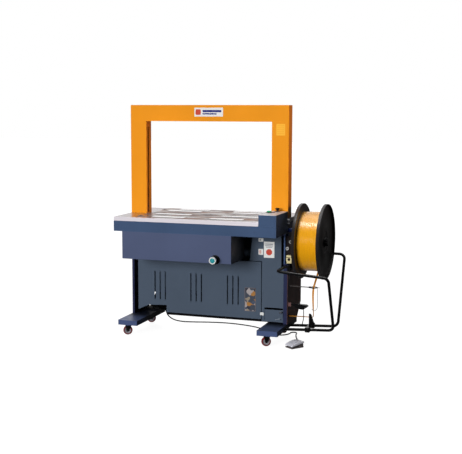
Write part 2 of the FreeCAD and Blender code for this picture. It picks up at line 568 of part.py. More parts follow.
def make_stand_tube(y_low, y_high, z_high, z_in, y_in):
    """One bent tube: out from the foot, up beside the reel, and back to the machine's side."""
    foot_x = FOOT_X + FOOT_W / 2
    x = STAND_X
    points = [(TUBE_START, y_low, TUBE_LOW), (x, y_low, TUBE_HIGH), (x, y_high, z_high),
              (TUBE_IN_X, y_high, z_in)]
    if y_in is None:
        points[-1] = (HALF_W, y_high, z_in)
    else:
        points.append((TUBE_IN_X, y_in, z_in))
    tube = tube_along(stand_path(points), TUBE_R)
    return tube.cut(box(foot_x - 20, foot_x, y_low - 20, y_low + 20, 50, 120))


def stand_path(points):
    """Like bent_path, with the bend radius limited to what each corner leaves room for."""
    pts = [V(*p) for p in points]
    edges, start = [], pts[0]
    for before, corner, after in zip(pts, pts[1:], pts[2:]):
        into, out = (corner - before).normalize(), (after - corner).normalize()
        turn = into.getAngle(out)
        room = 0.45 * min(corner.distanceToPoint(before), corner.distanceToPoint(after))
        back = min(room, 34.0 * math.tan(turn / 2))
        r = back / math.tan(turn / 2)
        bisector = (out - into).normalize()
        centre = corner + bisector * (r / math.cos(turn / 2))
        a, b = corner - into * back, corner + out * back
        edges.append(Part.LineSegment(start, a).toShape())
        edges.append(Part.Arc(a, centre - bisector * r, b).toShape())
        start = b
    edges.append(Part.LineSegment(start, pts[-1]).toShape())
    return Part.Wire(edges)


# ---- strap path outside the machine ----
ARM_Y, ARM_Z, RING_X = -48.0, 352.0, 707.0
PIVOT = (550.0, ARM_Y, 523.0)
POST_X, POST_Y = 679.0, -20.0
FEED_Y = -30.0


POST_TOP, POST_PIN = 178.0, 159.0


def make_guide_post():
    """Triangular bracket clamped on the two lower tubes, with a guide pin at its top."""
    slope = (TUBE_HIGH - TUBE_LOW) / (STAND_X - TUBE_START)
    middle = TUBE_LOW + slope * (POST_X - TUBE_START)
    top = middle + TUBE_R + 1
    cross = box(POST_X - 14, POST_X + 14, -100, 64, top + 0.2, top + 6)
    saddles = []
    for y in (-80.0, 45.0):
        saddle = box(POST_X - 14, POST_X + 14, y - 15, y + 15, middle - 14, top + 3)
        saddles.append(saddle.cut(cyl(TUBE_R + 0.05, (POST_X - 20, y, middle - 20 * slope),
                                       (POST_X + 20, y, middle + 20 * slope))))
    y = POST_Y - 3
    post = prism([(POST_X - 7, y, top + 4), (POST_X + 34, y, top + 4), (POST_X + 6, y, POST_TOP),
                  (POST_X - 7, y, POST_TOP)], (0, 6, 0))
    pin = cyl(4, (POST_X, POST_Y, POST_PIN), (POST_X, POST_Y + 24, POST_PIN))
    washer = cyl(8, (POST_X, POST_Y + 20, POST_PIN), (POST_X, POST_Y + 22, POST_PIN))
    return fuse([cross, post, pin, washer] + saddles)


def make_dancer():
    """Sprung arm: a rod that hangs from its hub, turns outward, and ends in a guide ring and loop."""
    hub = ring(17, 6 + FIT, (PIVOT[0], ARM_Y - 18, PIVOT[2]), (PIVOT[0], ARM_Y + 18, PIVOT[2]))
    rod_points = [(PIVOT[0], ARM_Y, PIVOT[2] - 12), (PIVOT[0], ARM_Y, ARM_Z), (RING_X - 22, ARM_Y, ARM_Z)]
    rod = tube_along(bent_path(rod_points, 9.0), 3.0)
    spur = cyl(1.6, (RING_X + 21, ARM_Y, ARM_Z), (RING_X + 38, ARM_Y, ARM_Z))
    eye = Part.makeTorus(22, 2.5, V(RING_X, ARM_Y, ARM_Z), V(0, 0, 1))
    loop_points = [(RING_X + 23, ARM_Y, ARM_Z), (RING_X + 26, ARM_Y, 300), (RING_X + 22, ARM_Y, 222),
                   (RING_X + 6, ARM_Y, 206), (RING_X - 10, ARM_Y, 216)]
    loop = tube_along(stand_path(loop_points), 1.2)
    return fuse([hub, rod, eye, spur, loop])


def make_end_lever():
    """Lever that feels the strap run out: a hub on a pin, a black blade and a thin wire leg."""
    x, y, z = LEVER_PIVOT
    hub = ring(8, 3 + FIT, (x, y - 5.5, z), (x, y + 5.5, z))
    side = [(x + 7, y - 4, z - 3), (x + 40, y - 4, z - 14), (x + 40, y - 4, z + 5), (x + 7, y - 4, z + 3)]
    arm = prism(side, (0, 8, 0))
    blade = prism([(x + 26, y - 15, z - 8), (x + 58, y - 15, z - 25), (x + 86, y - 15, z - 27),
                   (x + 118, y - 15, z - 6), (x + 104, y - 15, z + 4), (x + 30, y - 15, z + 6)], (0, 30, 0))
    leg = tube_along(stand_path([(x + 85, y, z - 20), (x + 86, y, 172), (x + 78, y, 107)]), 2.6)
    blade = fuse([arm, blade])
    return fuse([hub, blade, leg])


def ribbon(points, width_axis):
    """Flat strap through the points, folded over at each of them."""
    w = V(*width_axis) * (STRAP_W / 2)
    solids = []
    for a, b in zip(points, points[1:]):
        a, b = V(*a), V(*b)
        t = (b - a).cross(V(*width_axis)).normalize() * (STRAP_T / 2)
        wire = Part.makePolygon([a - w - t, a + w - t, a + w + t, a - w + t, a - w - t])
        solids.append(Part.Face(wire).extrude(b - a))
    return fuse(solids)


def make_strap_lead():
    """Strap from the back of the coil, through the dancer's ring, under the pin and into the machine."""
    away_y, away_z = ARM_Y + 8 - REEL_Y, ARM_Z + 4 - REEL_Z
    angle = math.atan2(away_z, away_y) + math.acos((COIL_R + 1) / math.hypot(away_y, away_z))
    leave = (714.0, REEL_Y + (COIL_R + 1) * math.cos(angle), REEL_Z + (COIL_R + 1) * math.sin(angle))
    upper = ribbon([leave, (RING_X + 1, ARM_Y + 6, ARM_Z + 4), (RING_X - 3, ARM_Y + 2, ARM_Z - 12),
                    (RING_X - 5, ARM_Y + 4, 236), (RING_X - 2, ARM_Y + 8, 212)], (1, 0, 0))
    pin_z = POST_PIN - 5
    lower = ribbon([(POST_X + 18, POST_Y + 12, pin_z + 2), (POST_X - 8, POST_Y + 12, pin_z),
                    (HALF_W - 30, ENTRY_Y, ENTRY_Z)], (0, 1, 0))
    link = ribbon([(RING_X - 2, ARM_Y + 8, 212), (POST_X + 18, POST_Y + 12, pin_z + 3)], (0.5, 0.8, 0))
    return group([upper, link, lower])


# ---- strap feeder on the right side ----
ROLLERS = ((532.0, 588.0), (553.0, 631.0))
ROLLER_R = 10.0
PLATE_Y = -26.0                               # rear face of the feeder plate


def make_feeder_plate():
    """Upright plate with the guide bar, the dancer's pivot pin and the axles of the rollers."""
    y = PLATE_Y
    outline = [(512, y, 492), (566, y, 492), (574, y, 510), (574, y, 640), (562, y, 662), (512, y, 662)]
    plate = prism(outline, (0, -3, 0))
    bar = box(511, 519, -44, -36, 491, 684)
    bridge = box(512, 518, -36, -29, 560, 580)
    pin = cyl(6, (PIVOT[0], ARM_Y - 22, PIVOT[2]), (PIVOT[0], y - 1, PIVOT[2]))
    axles = [cyl(3, (x, -47, z), (x, y - 1, z)) for x, z in ROLLERS]
    return fuse([plate, bar, bridge, pin] + axles)


def make_roller(index):
    x, z = ROLLERS[index]
    roller = ring(ROLLER_R, 3 + FIT, (x, -45, z), (x, -29.5, z))
    return round_edges(roller, 1.5, lambda e, m: abs(e.Length - 2 * math.pi * ROLLER_R) < 0.1)


def make_feed_motor():
    """Small motor beside the feeder, with its pale end cap, on a bracket under the table."""
    body = cyl(14, (533, FEED_Y, 704), (566, FEED_Y, 704))
    cap = cyl(11, (566, FEED_Y, 704), (576, FEED_Y, 704))
    bracket = box(516, 527, -48, 20, 690, 724)
    return group([fuse([body, cap]), bracket])


def make_sealing_head():
    """Cast frame below the head cover, with its cutter, gripper and anvil blocks."""
    side_plates = [box(-62, 62, y, y + 10, 570, 742) for y in (20.0, 130.0)]
    bridge = box(-62, 62, 30, 130, 570, 584)
    blocks = [box(x - 12, x + 12, -34, 20, 700, 764) for x in (-34.0, 0.0, 34.0)]
    anvil = box(-50, 50, -30, 14, 766, 772)
    posts = [box(-50, -46, 14, 24, 700, 772)]
    holes = cyl(9 + FIT, (0, 0, 650), (0, 160, 650))
    return fuse([p.cut(holes) for p in side_plates] + [bridge] + blocks + [anvil] + posts)


def make_cam_shaft():
    """Shaft across the sealing head with five cams and a driven pulley behind it."""
    shaft = cyl(9, (0, 12, 650), (0, 172, 650))
    cams = [cyl(26, (7 * math.cos(k * 1.3), 36 + 18 * k, 650 + 7 * math.sin(k * 1.3)),
                (7 * math.cos(k * 1.3), 46 + 18 * k, 650 + 7 * math.sin(k * 1.3))) for k in range(5)]
    pulley = cyl(48, (0, 148, 650), (0, 166, 650))
    return fuse([shaft, pulley] + cams)


def make_main_motor():
    """Motor and gearbox on the floor of the body, under the sealing head."""
    motor = cyl(62, (60, 150, 210), (260, 150, 210))
    gearbox = box(-50, 60, 96, 204, 140, 280)
    foot = box(-50, 240, 100, 200, BODY_BOTTOM + 3, 150)
    pulley = cyl(30, (0, 204, 250), (0, 222, 250))
    return fuse([motor, gearbox, foot, pulley])


# ---- foot switch and its cord ----
SWITCH = (628.0, -203.0)
SWITCH_TURN = -37.0
GLAND = (-372.0, 150.0)
CORD_R = 4.0
CORD_ROUTE = [
    (640.5, -149.8, 14), (649, -138.5, 14), (651, -120, 9.8), (643, -99, 5.4), (630, -76, 4.2),
    (613, -47, 4.2), (596, -13, 4.2), (580, 27, 4.2), (567, 66, 4.2), (557, 104, 4.2),
    (551, 134, 4.2), (548, 160, 4.2), (536, 172, 4.2), (520, 172, 4.2), (508, 160, 4.2),
    (509, 140, 4.2), (506, 116, 4.2), (497, 93, 4.2), (477, 71, 4.2), (447, 63, 4.2),
    (414, 80, 4.2), (371, 132, 4.2), (319, 182, 4.2), (261, 228, 4.2), (193, 258, 4.2),
    (122, 277, 4.2), (47, 289, 4.2), (-30, 286, 4.2), (-104, 273, 4.2), (-172, 253, 4.2),
    (-232, 238, 4.2), (-283, 224, 6), (-324, 204, 16), (-352, 182, 36), (-368, 160, 64),
    (-372, 150, 94)
]


def make_foot_switch():
    """Die-cast base with a hooded pedal hinged at its rear; local +Y is the heel end."""
    base = round_edges(box(-33, 33, -46, 46, 0, 7), 6.0, is_vertical)
    base = base.fuse(box(-30, 30, 18, 46, 7, 24))
    ears = [prism([(x, 30, 24), (x, 46, 24), (x, 44, 36), (x, 34, 36)], (3, 0, 0)) for x in (-29.5, 26.5)]
    pin = cyl(2.5, (-32, 39, 31), (32, 39, 31))
    boss = cyl(6, (-22, 46, 14), (-22, 54, 14)).cut(cyl(CORD_R, (-22, 50, 14), (-22, 56, 14)))
    nodes["foot_switch_base"] = place(fuse([base, boss, pin] + ears), SWITCH_TURN, SWITCH + (0,))
    skin = 2.0
    side = [(-36, -44, 14), (-36, -50, 17), (-36, -46, 21), (-36, 26, 42), (-36, 46, 42), (-36, 48, 30),
            (-36, 30, 27)]
    outer = prism(side, (72, 0, 0))
    inner_side = [(-34, -60, 8), (-34, -46, 19), (-34, 26, 40), (-34, 44, 40), (-34, 52, 20)]
    hood = outer.cut(prism(inner_side, (72 - 2 * skin, 0, 0)))
    hood = hood.cut(cyl(2.5 + FIT, (-40, 39, 31), (40, 39, 31)))
    nodes["foot_switch_pedal"] = place(hood, SWITCH_TURN, SWITCH + (0,))


def make_gland():
    x, y, z = GLAND[0], GLAND[1], BODY_BOTTOM
    gland = ring(9, CORD_R, (x, y, z - 14), (x, y, z))
    return gland.fuse(ring(6.4, CORD_R, (x, y, z), (x, y, z + 10))).removeSplitter()


def make_cord():
    path = bent_path(CORD_ROUTE, None, True)
    cord = tube_along(path, CORD_R)
    print("cord length", round(path.Length), "volume ratio",
          round(cord.Volume / (math.pi * CORD_R ** 2 * path.Length), 4))
    return cord


def make_screws():
    """Pan-head screws of the front panel, column cover, electric box, apron and arch."""
    heads = []
    spots = [(x, BODY_FRONT, z) for x in (-470.0, -69.0, 344.0) for z in (476.0,)]
    spots += [(-270.0, BODY_FRONT, 138.0), (344.0, BODY_FRONT, 138.0), (378.0, BODY_FRONT, 670.0),
              (480.0, BODY_FRONT, 670.0), (500.0, BODY_FRONT, 300.0), (374.0, BODY_FRONT, 300.0)]
    spots += [(x, -HALF_D + 0.5, z) for x in (-505.0, 0.0, 400.0) for z in (720.0,)]
    for x, y, z in spots:
        heads.append(cyl(4.5, (x, y - 2.4, z), (x, y, z)))
    for x, z in ((HALF_W - SHEET, 742.0), (HALF_W, 766.0)):
        heads.append(cyl(8, (x, FEED_Y, z), (HALF_W + 10, FEED_Y, z)))
    return group(heads)


def build():
    nodes["feet"] = make_feet()
    nodes["frame"] = make_frame()
    make_casters()
    nodes["front_panel"] = make_front_panel()
    nodes["rear_panel"] = make_rear_panel()
    nodes["side_covers"] = make_side_covers()
    nodes["base_tray"] = make_base_tray()
    nodes["column_cover"] = make_column_cover()
    nodes["service_door"] = make_service_door()
    nodes["apron_panels"] = make_aprons()
    nodes["table_top"] = make_table()
    nodes["lid_left"] = make_lid(-1)
    nodes["lid_right"] = make_lid(1)
    nodes["head_cover"] = make_head_cover()
    nodes["arch_leg_left"] = make_arch_leg(-1)
    nodes["arch_leg_right"] = make_arch_leg(1)
    nodes["arch_beam"] = make_arch_beam()
    nodes["strap_track"] = make_strap_track()
    nodes["track_gates"] = make_track_gates()
    nodes["blank_plates"] = make_blank_plates()
    nodes["electric_box"] = make_electric_box()
    nodes["button_collars"] = make_button_collars()
    nodes["start_button"] = make_start_button()
    nodes["control_box"] = make_control_box()
    nodes["control_top_plate"] = make_control_top()
    nodes["power_button"] = make_panel_button(0, 7.0)
    nodes["stop_button"] = make_panel_button(1, 5.0)
    nodes["tension_knob"] = make_panel_button(2, 18.0)
    make_reel()
    nodes["reel_bracket"] = make_reel_bracket()
    nodes["stand_tube_front"] = make_stand_tube(-80.0, -250.0, 449.0, 475.0, BODY_FRONT)
    nodes["stand_tube_rear"] = make_stand_tube(45.0, 227.0, 530.0, 536.0, None)
    nodes["guide_post"] = make_guide_post()
    nodes["dancer_arm"] = make_dancer()
    nodes["end_lever"] = make_end_lever()
    nodes["strap_lead"] = make_strap_lead()
    nodes["feeder_plate"] = make_feeder_plate()
    nodes["feed_motor"] = make_feed_motor()
    nodes["feed_roller"] = make_roller(0)
    nodes["pinch_roller"] = make_roller(1)
    nodes["sealing_head"] = make_sealing_head()
    nodes["cam_shaft"] = make_cam_shaft()
    nodes["main_motor"] = make_main_motor()
    make_foot_switch()
    nodes["cord_gland"] = make_gland()
    nodes["foot_switch_cord"] = make_cord()
    nodes["screws"] = make_screws()


def export():
    os.makedirs("parts", exist_ok=True)
    for name, shape in nodes.items():
        moved = shape.copy()
        moved.translate(V(-SHIFT_X, -SHIFT_Y, 0))
        moved.exportStep("parts/" + name + ".step")
    print(len(nodes), "nodes")


build()
export()
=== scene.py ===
import json
import math
import random

import bmesh
import bpy
from mathutils import Matrix, Vector


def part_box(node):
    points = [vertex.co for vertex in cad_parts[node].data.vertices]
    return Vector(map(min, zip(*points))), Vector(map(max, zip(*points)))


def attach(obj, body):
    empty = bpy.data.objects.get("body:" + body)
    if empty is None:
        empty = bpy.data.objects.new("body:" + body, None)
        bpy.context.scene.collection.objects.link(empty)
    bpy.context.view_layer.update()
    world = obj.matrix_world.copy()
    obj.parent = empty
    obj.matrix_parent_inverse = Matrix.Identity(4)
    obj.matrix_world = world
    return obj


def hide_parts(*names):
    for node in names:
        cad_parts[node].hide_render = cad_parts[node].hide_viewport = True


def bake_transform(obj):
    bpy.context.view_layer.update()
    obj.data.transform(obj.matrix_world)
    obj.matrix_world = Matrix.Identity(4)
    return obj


# Looks of an arch strapping machine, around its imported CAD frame. Metres, +Z up.
# ARCH is the point on the floor under the middle of the arch; at() places things from there.

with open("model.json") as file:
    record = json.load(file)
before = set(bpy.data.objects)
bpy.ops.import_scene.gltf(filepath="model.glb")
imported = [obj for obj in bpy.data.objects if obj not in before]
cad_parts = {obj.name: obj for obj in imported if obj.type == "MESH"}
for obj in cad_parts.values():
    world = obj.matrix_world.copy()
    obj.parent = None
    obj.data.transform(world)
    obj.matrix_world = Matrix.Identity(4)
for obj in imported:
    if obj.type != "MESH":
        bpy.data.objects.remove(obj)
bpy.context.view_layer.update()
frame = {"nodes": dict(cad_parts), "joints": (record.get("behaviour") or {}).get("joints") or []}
nodes = frame["nodes"]
joints = {joint["name"]: joint for joint in frame["joints"]}
chance = random.Random(7)

beam_low, beam_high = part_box("arch_beam")
ARCH = Vector(((beam_low.x + beam_high.x) / 2, (beam_low.y + beam_high.y) / 2, 0))


def at(x, y, z):
    return ARCH + Vector((x, y, z))


def new_object(name, data):
    made = bpy.data.objects.new(name, data)
    bpy.context.scene.collection.objects.link(made)
    return made


# ---- camera ----
CAMERA_AT = at(2.073, -5.735, 1.4322)
YAW, PITCH, ROLL = math.radians(18.58), math.radians(6.865), math.radians(0.185)
LENS = 73.84


def make_camera():
    forward = Vector((-math.sin(YAW) * math.cos(PITCH), math.cos(YAW) * math.cos(PITCH), -math.sin(PITCH)))
    level = Vector((math.cos(YAW), math.sin(YAW), 0))
    above = level.cross(forward)
    right = level * math.cos(ROLL) + above * math.sin(ROLL)
    up = above * math.cos(ROLL) - level * math.sin(ROLL)
    camera = new_object("camera", bpy.data.cameras.new("camera"))
    camera.data.lens = LENS
    camera.data.clip_end = 60
    turned = Matrix((right, up, -forward)).transposed().to_4x4()
    camera.matrix_world = Matrix.Translation(CAMERA_AT) @ turned
    bpy.context.scene.camera = camera


make_camera()


# ---- materials ----
class Nodes:
    """Short ways to add and join nodes in a tree."""
    def __init__(self, tree):
        self.tree = tree

    def link(self, source, target):
        self.tree.links.new(source, target)

    def add(self, kind, **settings):
        node = self.tree.nodes.new("ShaderNode" + kind)
        for key, value in settings.items():
            setattr(node, key, value)
        return node

    def level(self, source, low, high, to_low=0.0, to_high=1.0, shape="LINEAR"):
        node = self.add("MapRange", interpolation_type=shape)
        for key, value in (("From Min", low), ("From Max", high), ("To Min", to_low), ("To Max", to_high)):
            node.inputs[key].default_value = value
        self.link(source, node.inputs["Value"])
        return node.outputs["Result"]

    def maths(self, kind, a, b):
        node = self.add("Math", operation=kind)
        for index, value in enumerate((a, b)):
            if isinstance(value, (int, float)):
                node.inputs[index].default_value = value
            else:
                self.link(value, node.inputs[index])
        return node.outputs[0]

    def axes(self, place):
        split = self.add("SeparateXYZ")
        self.link(place, split.inputs[0])
        return split.outputs


class Finish(Nodes):
    """A Principled material, with helpers that add the nodes which vary it."""
    def __init__(self, name, colour, roughness, metallic=0.0):
        self.material = bpy.data.materials.new(name)
        self.material.use_nodes = True
        super().__init__(self.material.node_tree)
        self.shader = self.tree.nodes["Principled BSDF"]
        self.shader.inputs["Base Color"].default_value = (*colour, 1)
        self.shader.inputs["Roughness"].default_value = roughness
        self.shader.inputs["Metallic"].default_value = metallic
        self.place = self.add("TexCoord").outputs["Object"]

    def stretched(self, scale):
        mapping = self.add("Mapping")
        mapping.inputs["Scale"].default_value = scale
        self.link(self.place, mapping.inputs["Vector"])
        return mapping.outputs["Vector"]

    def noise(self, scale, detail=3.0, stretch=(1, 1, 1), rough=0.5):
        node = self.add("TexNoise")
        node.inputs["Scale"].default_value = scale
        node.inputs["Detail"].default_value = detail
        node.inputs["Roughness"].default_value = rough
        self.link(self.stretched(stretch), node.inputs["Vector"])
        return node.outputs["Fac"]

    def blend(self, factor, low, high, kind="MIX"):
        """Mix of two colours; each is a colour or a socket."""
        node = self.add("Mix", data_type="RGBA", blend_type=kind)
        self.link(factor, node.inputs["Factor"])
        for key, value in ((6, low), (7, high)):
            if isinstance(value, bpy.types.NodeSocket):
                self.link(value, node.inputs[key])
            else:
                node.inputs[key].default_value = (*value[:3], 1)
        return node.outputs[2]

    def edges(self, radius=0.0016):
        """0 on flat faces and 1 on sharp outer edges."""
        bevel = self.add("Bevel", samples=4)
        bevel.inputs["Radius"].default_value = radius
        dot = self.add("VectorMath", operation="DOT_PRODUCT")
        self.link(bevel.outputs["Normal"], dot.inputs[0])
        self.link(self.add("NewGeometry").outputs["Normal"], dot.inputs[1])
        return self.level(dot.outputs["Value"], 0.995, 0.90)

    def paint_colour(self, socket):
        self.link(socket, self.shader.inputs["Base Color"])

    def roughness(self, source, low, high, smooth, rough):
        self.link(self.level(source, low, high, smooth, rough), self.shader.inputs["Roughness"])

    def bump(self, height, distance, strength=1.0, before=None):
        node = self.add("Bump")
        node.inputs["Distance"].default_value = distance
        node.inputs["Strength"].default_value = strength
        self.link(height, node.inputs["Height"])
        if before is not None:
            self.link(before, node.inputs["Normal"])
        self.link(node.outputs["Normal"], self.shader.inputs["Normal"])
        return node.outputs["Normal"]


def tint(colour, factor):
    return tuple(min(1.0, c * factor) for c in colour)


def srgb(r, g, b):
    """Linear colour of an everyday 0-255 colour."""
    return tuple((c / 255 / 12.92) if c <= 10 else ((c / 255 + 0.055) / 1.055) ** 2.4 for c in (r, g, b))


def paint(name, colour, roughness=0.42, cloud=0.10, edge_wear_and_highlight=1.35, peel=0.00006, cloud_scale=3.0, painted_shade=None):
    """Powder coat: cloudy tone, orange peel and a lighter line on worn edges, partly wear and partly a
    painted highlight.

    The last argument is (axis, low, high) for painted shade: the coat turns nearly black between these two
    places along the axis.
    """
    f = Finish(name, colour, roughness)
    clouds = f.level(f.noise(cloud_scale, 4), 0.3, 0.7)
    cloudy = f.blend(clouds, tint(colour, 1 - cloud), tint(colour, 1 + cloud))
    speck = f.level(f.noise(60, 5, rough=0.7), 0.62, 0.75, 0.0, 0.35)
    cloudy = f.blend(speck, cloudy, tint(colour, 1 - 2 * cloud))
    # lighter edges in patches: partly wear, partly a painted highlight along the edges
    scuff_and_highlight = f.maths("MULTIPLY", f.edges(), f.level(f.noise(25, 4), 0.35, 0.6))
    coat = f.blend(scuff_and_highlight, cloudy, tint(colour, edge_wear_and_highlight))
    # painted shade: past a place along one axis the coat is darkened to nearly black where the part lies in
    # shade
    if painted_shade:
        axis, low, high = painted_shade
        coat = f.blend(f.level(f.axes(f.place)[axis], low, high), coat, tint(colour, 0.1))
    f.paint_colour(coat)
    f.roughness(f.noise(9, 4), 0.3, 0.7, roughness - 0.06, roughness + 0.1)
    f.bump(f.noise(420, 2), peel)
    return f.material


def steel(name, colour, roughness, grain=(3, 260, 260), bump=0.00002, stain=0.08):
    """Bare metal with a drawn or brushed grain along one axis and faint stains."""
    f = Finish(name, colour, roughness, 1.0)
    lines = f.noise(1.0, 5, grain, 0.65)
    base = f.blend(f.level(lines, 0.3, 0.7), tint(colour, 0.86), tint(colour, 1.08))
    marks = f.level(f.noise(6, 5, rough=0.6), 0.45, 0.75, 0.0, stain * 4)
    f.paint_colour(f.blend(marks, base, tint(colour, 0.6)))
    f.roughness(lines, 0.3, 0.7, roughness * 0.75, roughness * 1.35)
    f.bump(lines, bump)
    return f.material


def table_steel(name, colour, rib_colour, rib_from, rib_to):
    """Brushed plate with dull brown and dark patches; the ribs, from a height up, stay bright."""
    f = Finish(name, colour, 0.28, 1.0)
    lines = f.noise(1.0, 5, (5, 220, 220), 0.65)
    base = f.blend(f.level(lines, 0.3, 0.7), tint(colour, 0.8), tint(colour, 1.15))
    brown = f.level(f.noise(8, 4, (0.6, 1.8, 1.0), 0.6), 0.46, 0.56, 0.0, 0.9)
    base = f.blend(brown, base, (colour[0] * 0.80, colour[1] * 0.60, colour[2] * 0.50))
    dark = f.level(f.noise(11, 3, (0.7, 2.2, 3.0), 0.6), 0.52, 0.60, 0.0, 0.8)
    base = f.blend(dark, base, (colour[0] * 0.42, colour[1] * 0.46, colour[2] * 0.50))
    raised = f.level(f.axes(f.place)[2], rib_from, rib_to)
    f.paint_colour(f.blend(raised, base, rib_colour))
    dull = f.maths("MULTIPLY", f.maths("MAXIMUM", brown, dark), f.maths("SUBTRACT", 1.0, raised))
    f.link(f.maths("ADD", f.level(lines, 0.3, 0.7, 0.2, 0.38), f.maths("MULTIPLY", dull, 0.45)),
           f.shader.inputs["Roughness"])
    f.bump(lines, 0.00002)
    return f.material


def table_rim(name, colour, edge_colour, front):
    """Brushed plate; its folded front edge, forward of a depth, is satin and paler."""
    f = Finish(name, colour, 0.3)
    lines = f.noise(1.0, 5, (2, 300, 300), 0.6)
    base = f.blend(f.level(lines, 0.3, 0.7), tint(colour, 0.9), tint(colour, 1.1))
    inside = f.level(f.axes(f.place)[1], front, front + 0.0005)
    f.paint_colour(f.blend(inside, edge_colour, base))
    f.link(inside, f.shader.inputs["Metallic"])
    f.roughness(lines, 0.3, 0.7, 0.22, 0.34)
    f.bump(lines, 0.00002)
    return f.material


def plastic(name, colour, roughness=0.35, grain=0.00003, grain_scale=900, cloud=0.08, edge_wear_and_highlight=1.25):
    """Moulded plastic: fine grain, slight tone change and lighter, softly polished edges, partly polish and
    partly a painted highlight.
    """
    f = Finish(name, colour, roughness)
    tone = f.blend(f.level(f.noise(12, 3), 0.3, 0.7), tint(colour, 1 - cloud), tint(colour, 1 + cloud))
    # the lighter edges are partly polish and partly a painted highlight
    f.paint_colour(f.blend(f.edges(0.001), tone, tint(colour, edge_wear_and_highlight)))
    f.roughness(f.noise(40, 3), 0.3, 0.7, roughness * 0.85, roughness * 1.2)
    f.bump(f.noise(grain_scale, 2), grain)
    return f.material


def rubber(name, colour, roughness=0.6):
    f = Finish(name, colour, roughness)
    dust = f.level(f.noise(35, 5, rough=0.7), 0.45, 0.8, 0.0, 0.5)
    f.paint_colour(f.blend(dust, colour, tuple(c * 0.6 + 0.05 for c in colour)))
    f.roughness(f.noise(50, 3), 0.3, 0.7, roughness * 0.85, min(1.0, roughness * 1.2))
    f.bump(f.noise(700, 3), 0.00008)
    return f.material


def cast(name, colour):
    """Painted casting with a coarse skin."""
    f = Finish(name, colour, 0.55)
    f.paint_colour(f.blend(f.level(f.noise(15, 5), 0.3, 0.7), tint(colour, 0.8), tint(colour, 1.25)))
    f.bump(f.noise(260, 5, rough=0.7), 0.0003)
    return f.material


def strap_finish(name, colour, along):
    """Polypropylene strap: fine lengthwise lines under a glossy skin."""
    f = Finish(name, colour, 0.3)
    lines = f.noise(1.0, 3, along)
    f.paint_colour(f.blend(f.level(lines, 0.3, 0.7), tint(colour, 0.82), tint(colour, 1.12)))
    f.roughness(lines, 0.3, 0.7, 0.24, 0.42)
    f.bump(lines, 0.00012)
    f.shader.inputs["Coat Weight"].default_value = 1.0
    f.shader.inputs["Coat Roughness"].default_value = 0.25
    return f.material


def instruction_print(name):
    """Blank stand-in for a printed plate: soft patches of muted colour, with no marks to read."""
    f = Finish(name, (0.3, 0.3, 0.3), 0.4)
    cells = f.add("TexVoronoi", distance="MANHATTAN")
    cells.inputs["Scale"].default_value = 38
    f.link(f.place, cells.inputs["Vector"])
    ramp = f.add("ValToRGB")
    ramp.color_ramp.interpolation = "CONSTANT"
    stops = ramp.color_ramp.elements
    stops[0].color = (*srgb(70, 76, 88), 1)
    stops[1].position = 0.34
    stops[1].color = (*srgb(150, 138, 122), 1)
    for position, colour in ((0.46, srgb(78, 86, 104)), (0.62, srgb(168, 160, 160)),
                             (0.72, srgb(60, 62, 74)), (0.86, srgb(166, 118, 66))):
        stops.new(position).color = (*colour, 1)
    separate = f.add("SeparateColor")
    f.link(cells.outputs["Color"], separate.inputs[0])
    f.link(separate.outputs[0], ramp.inputs[0])
    f.paint_colour(ramp.outputs[0])
    return f.material


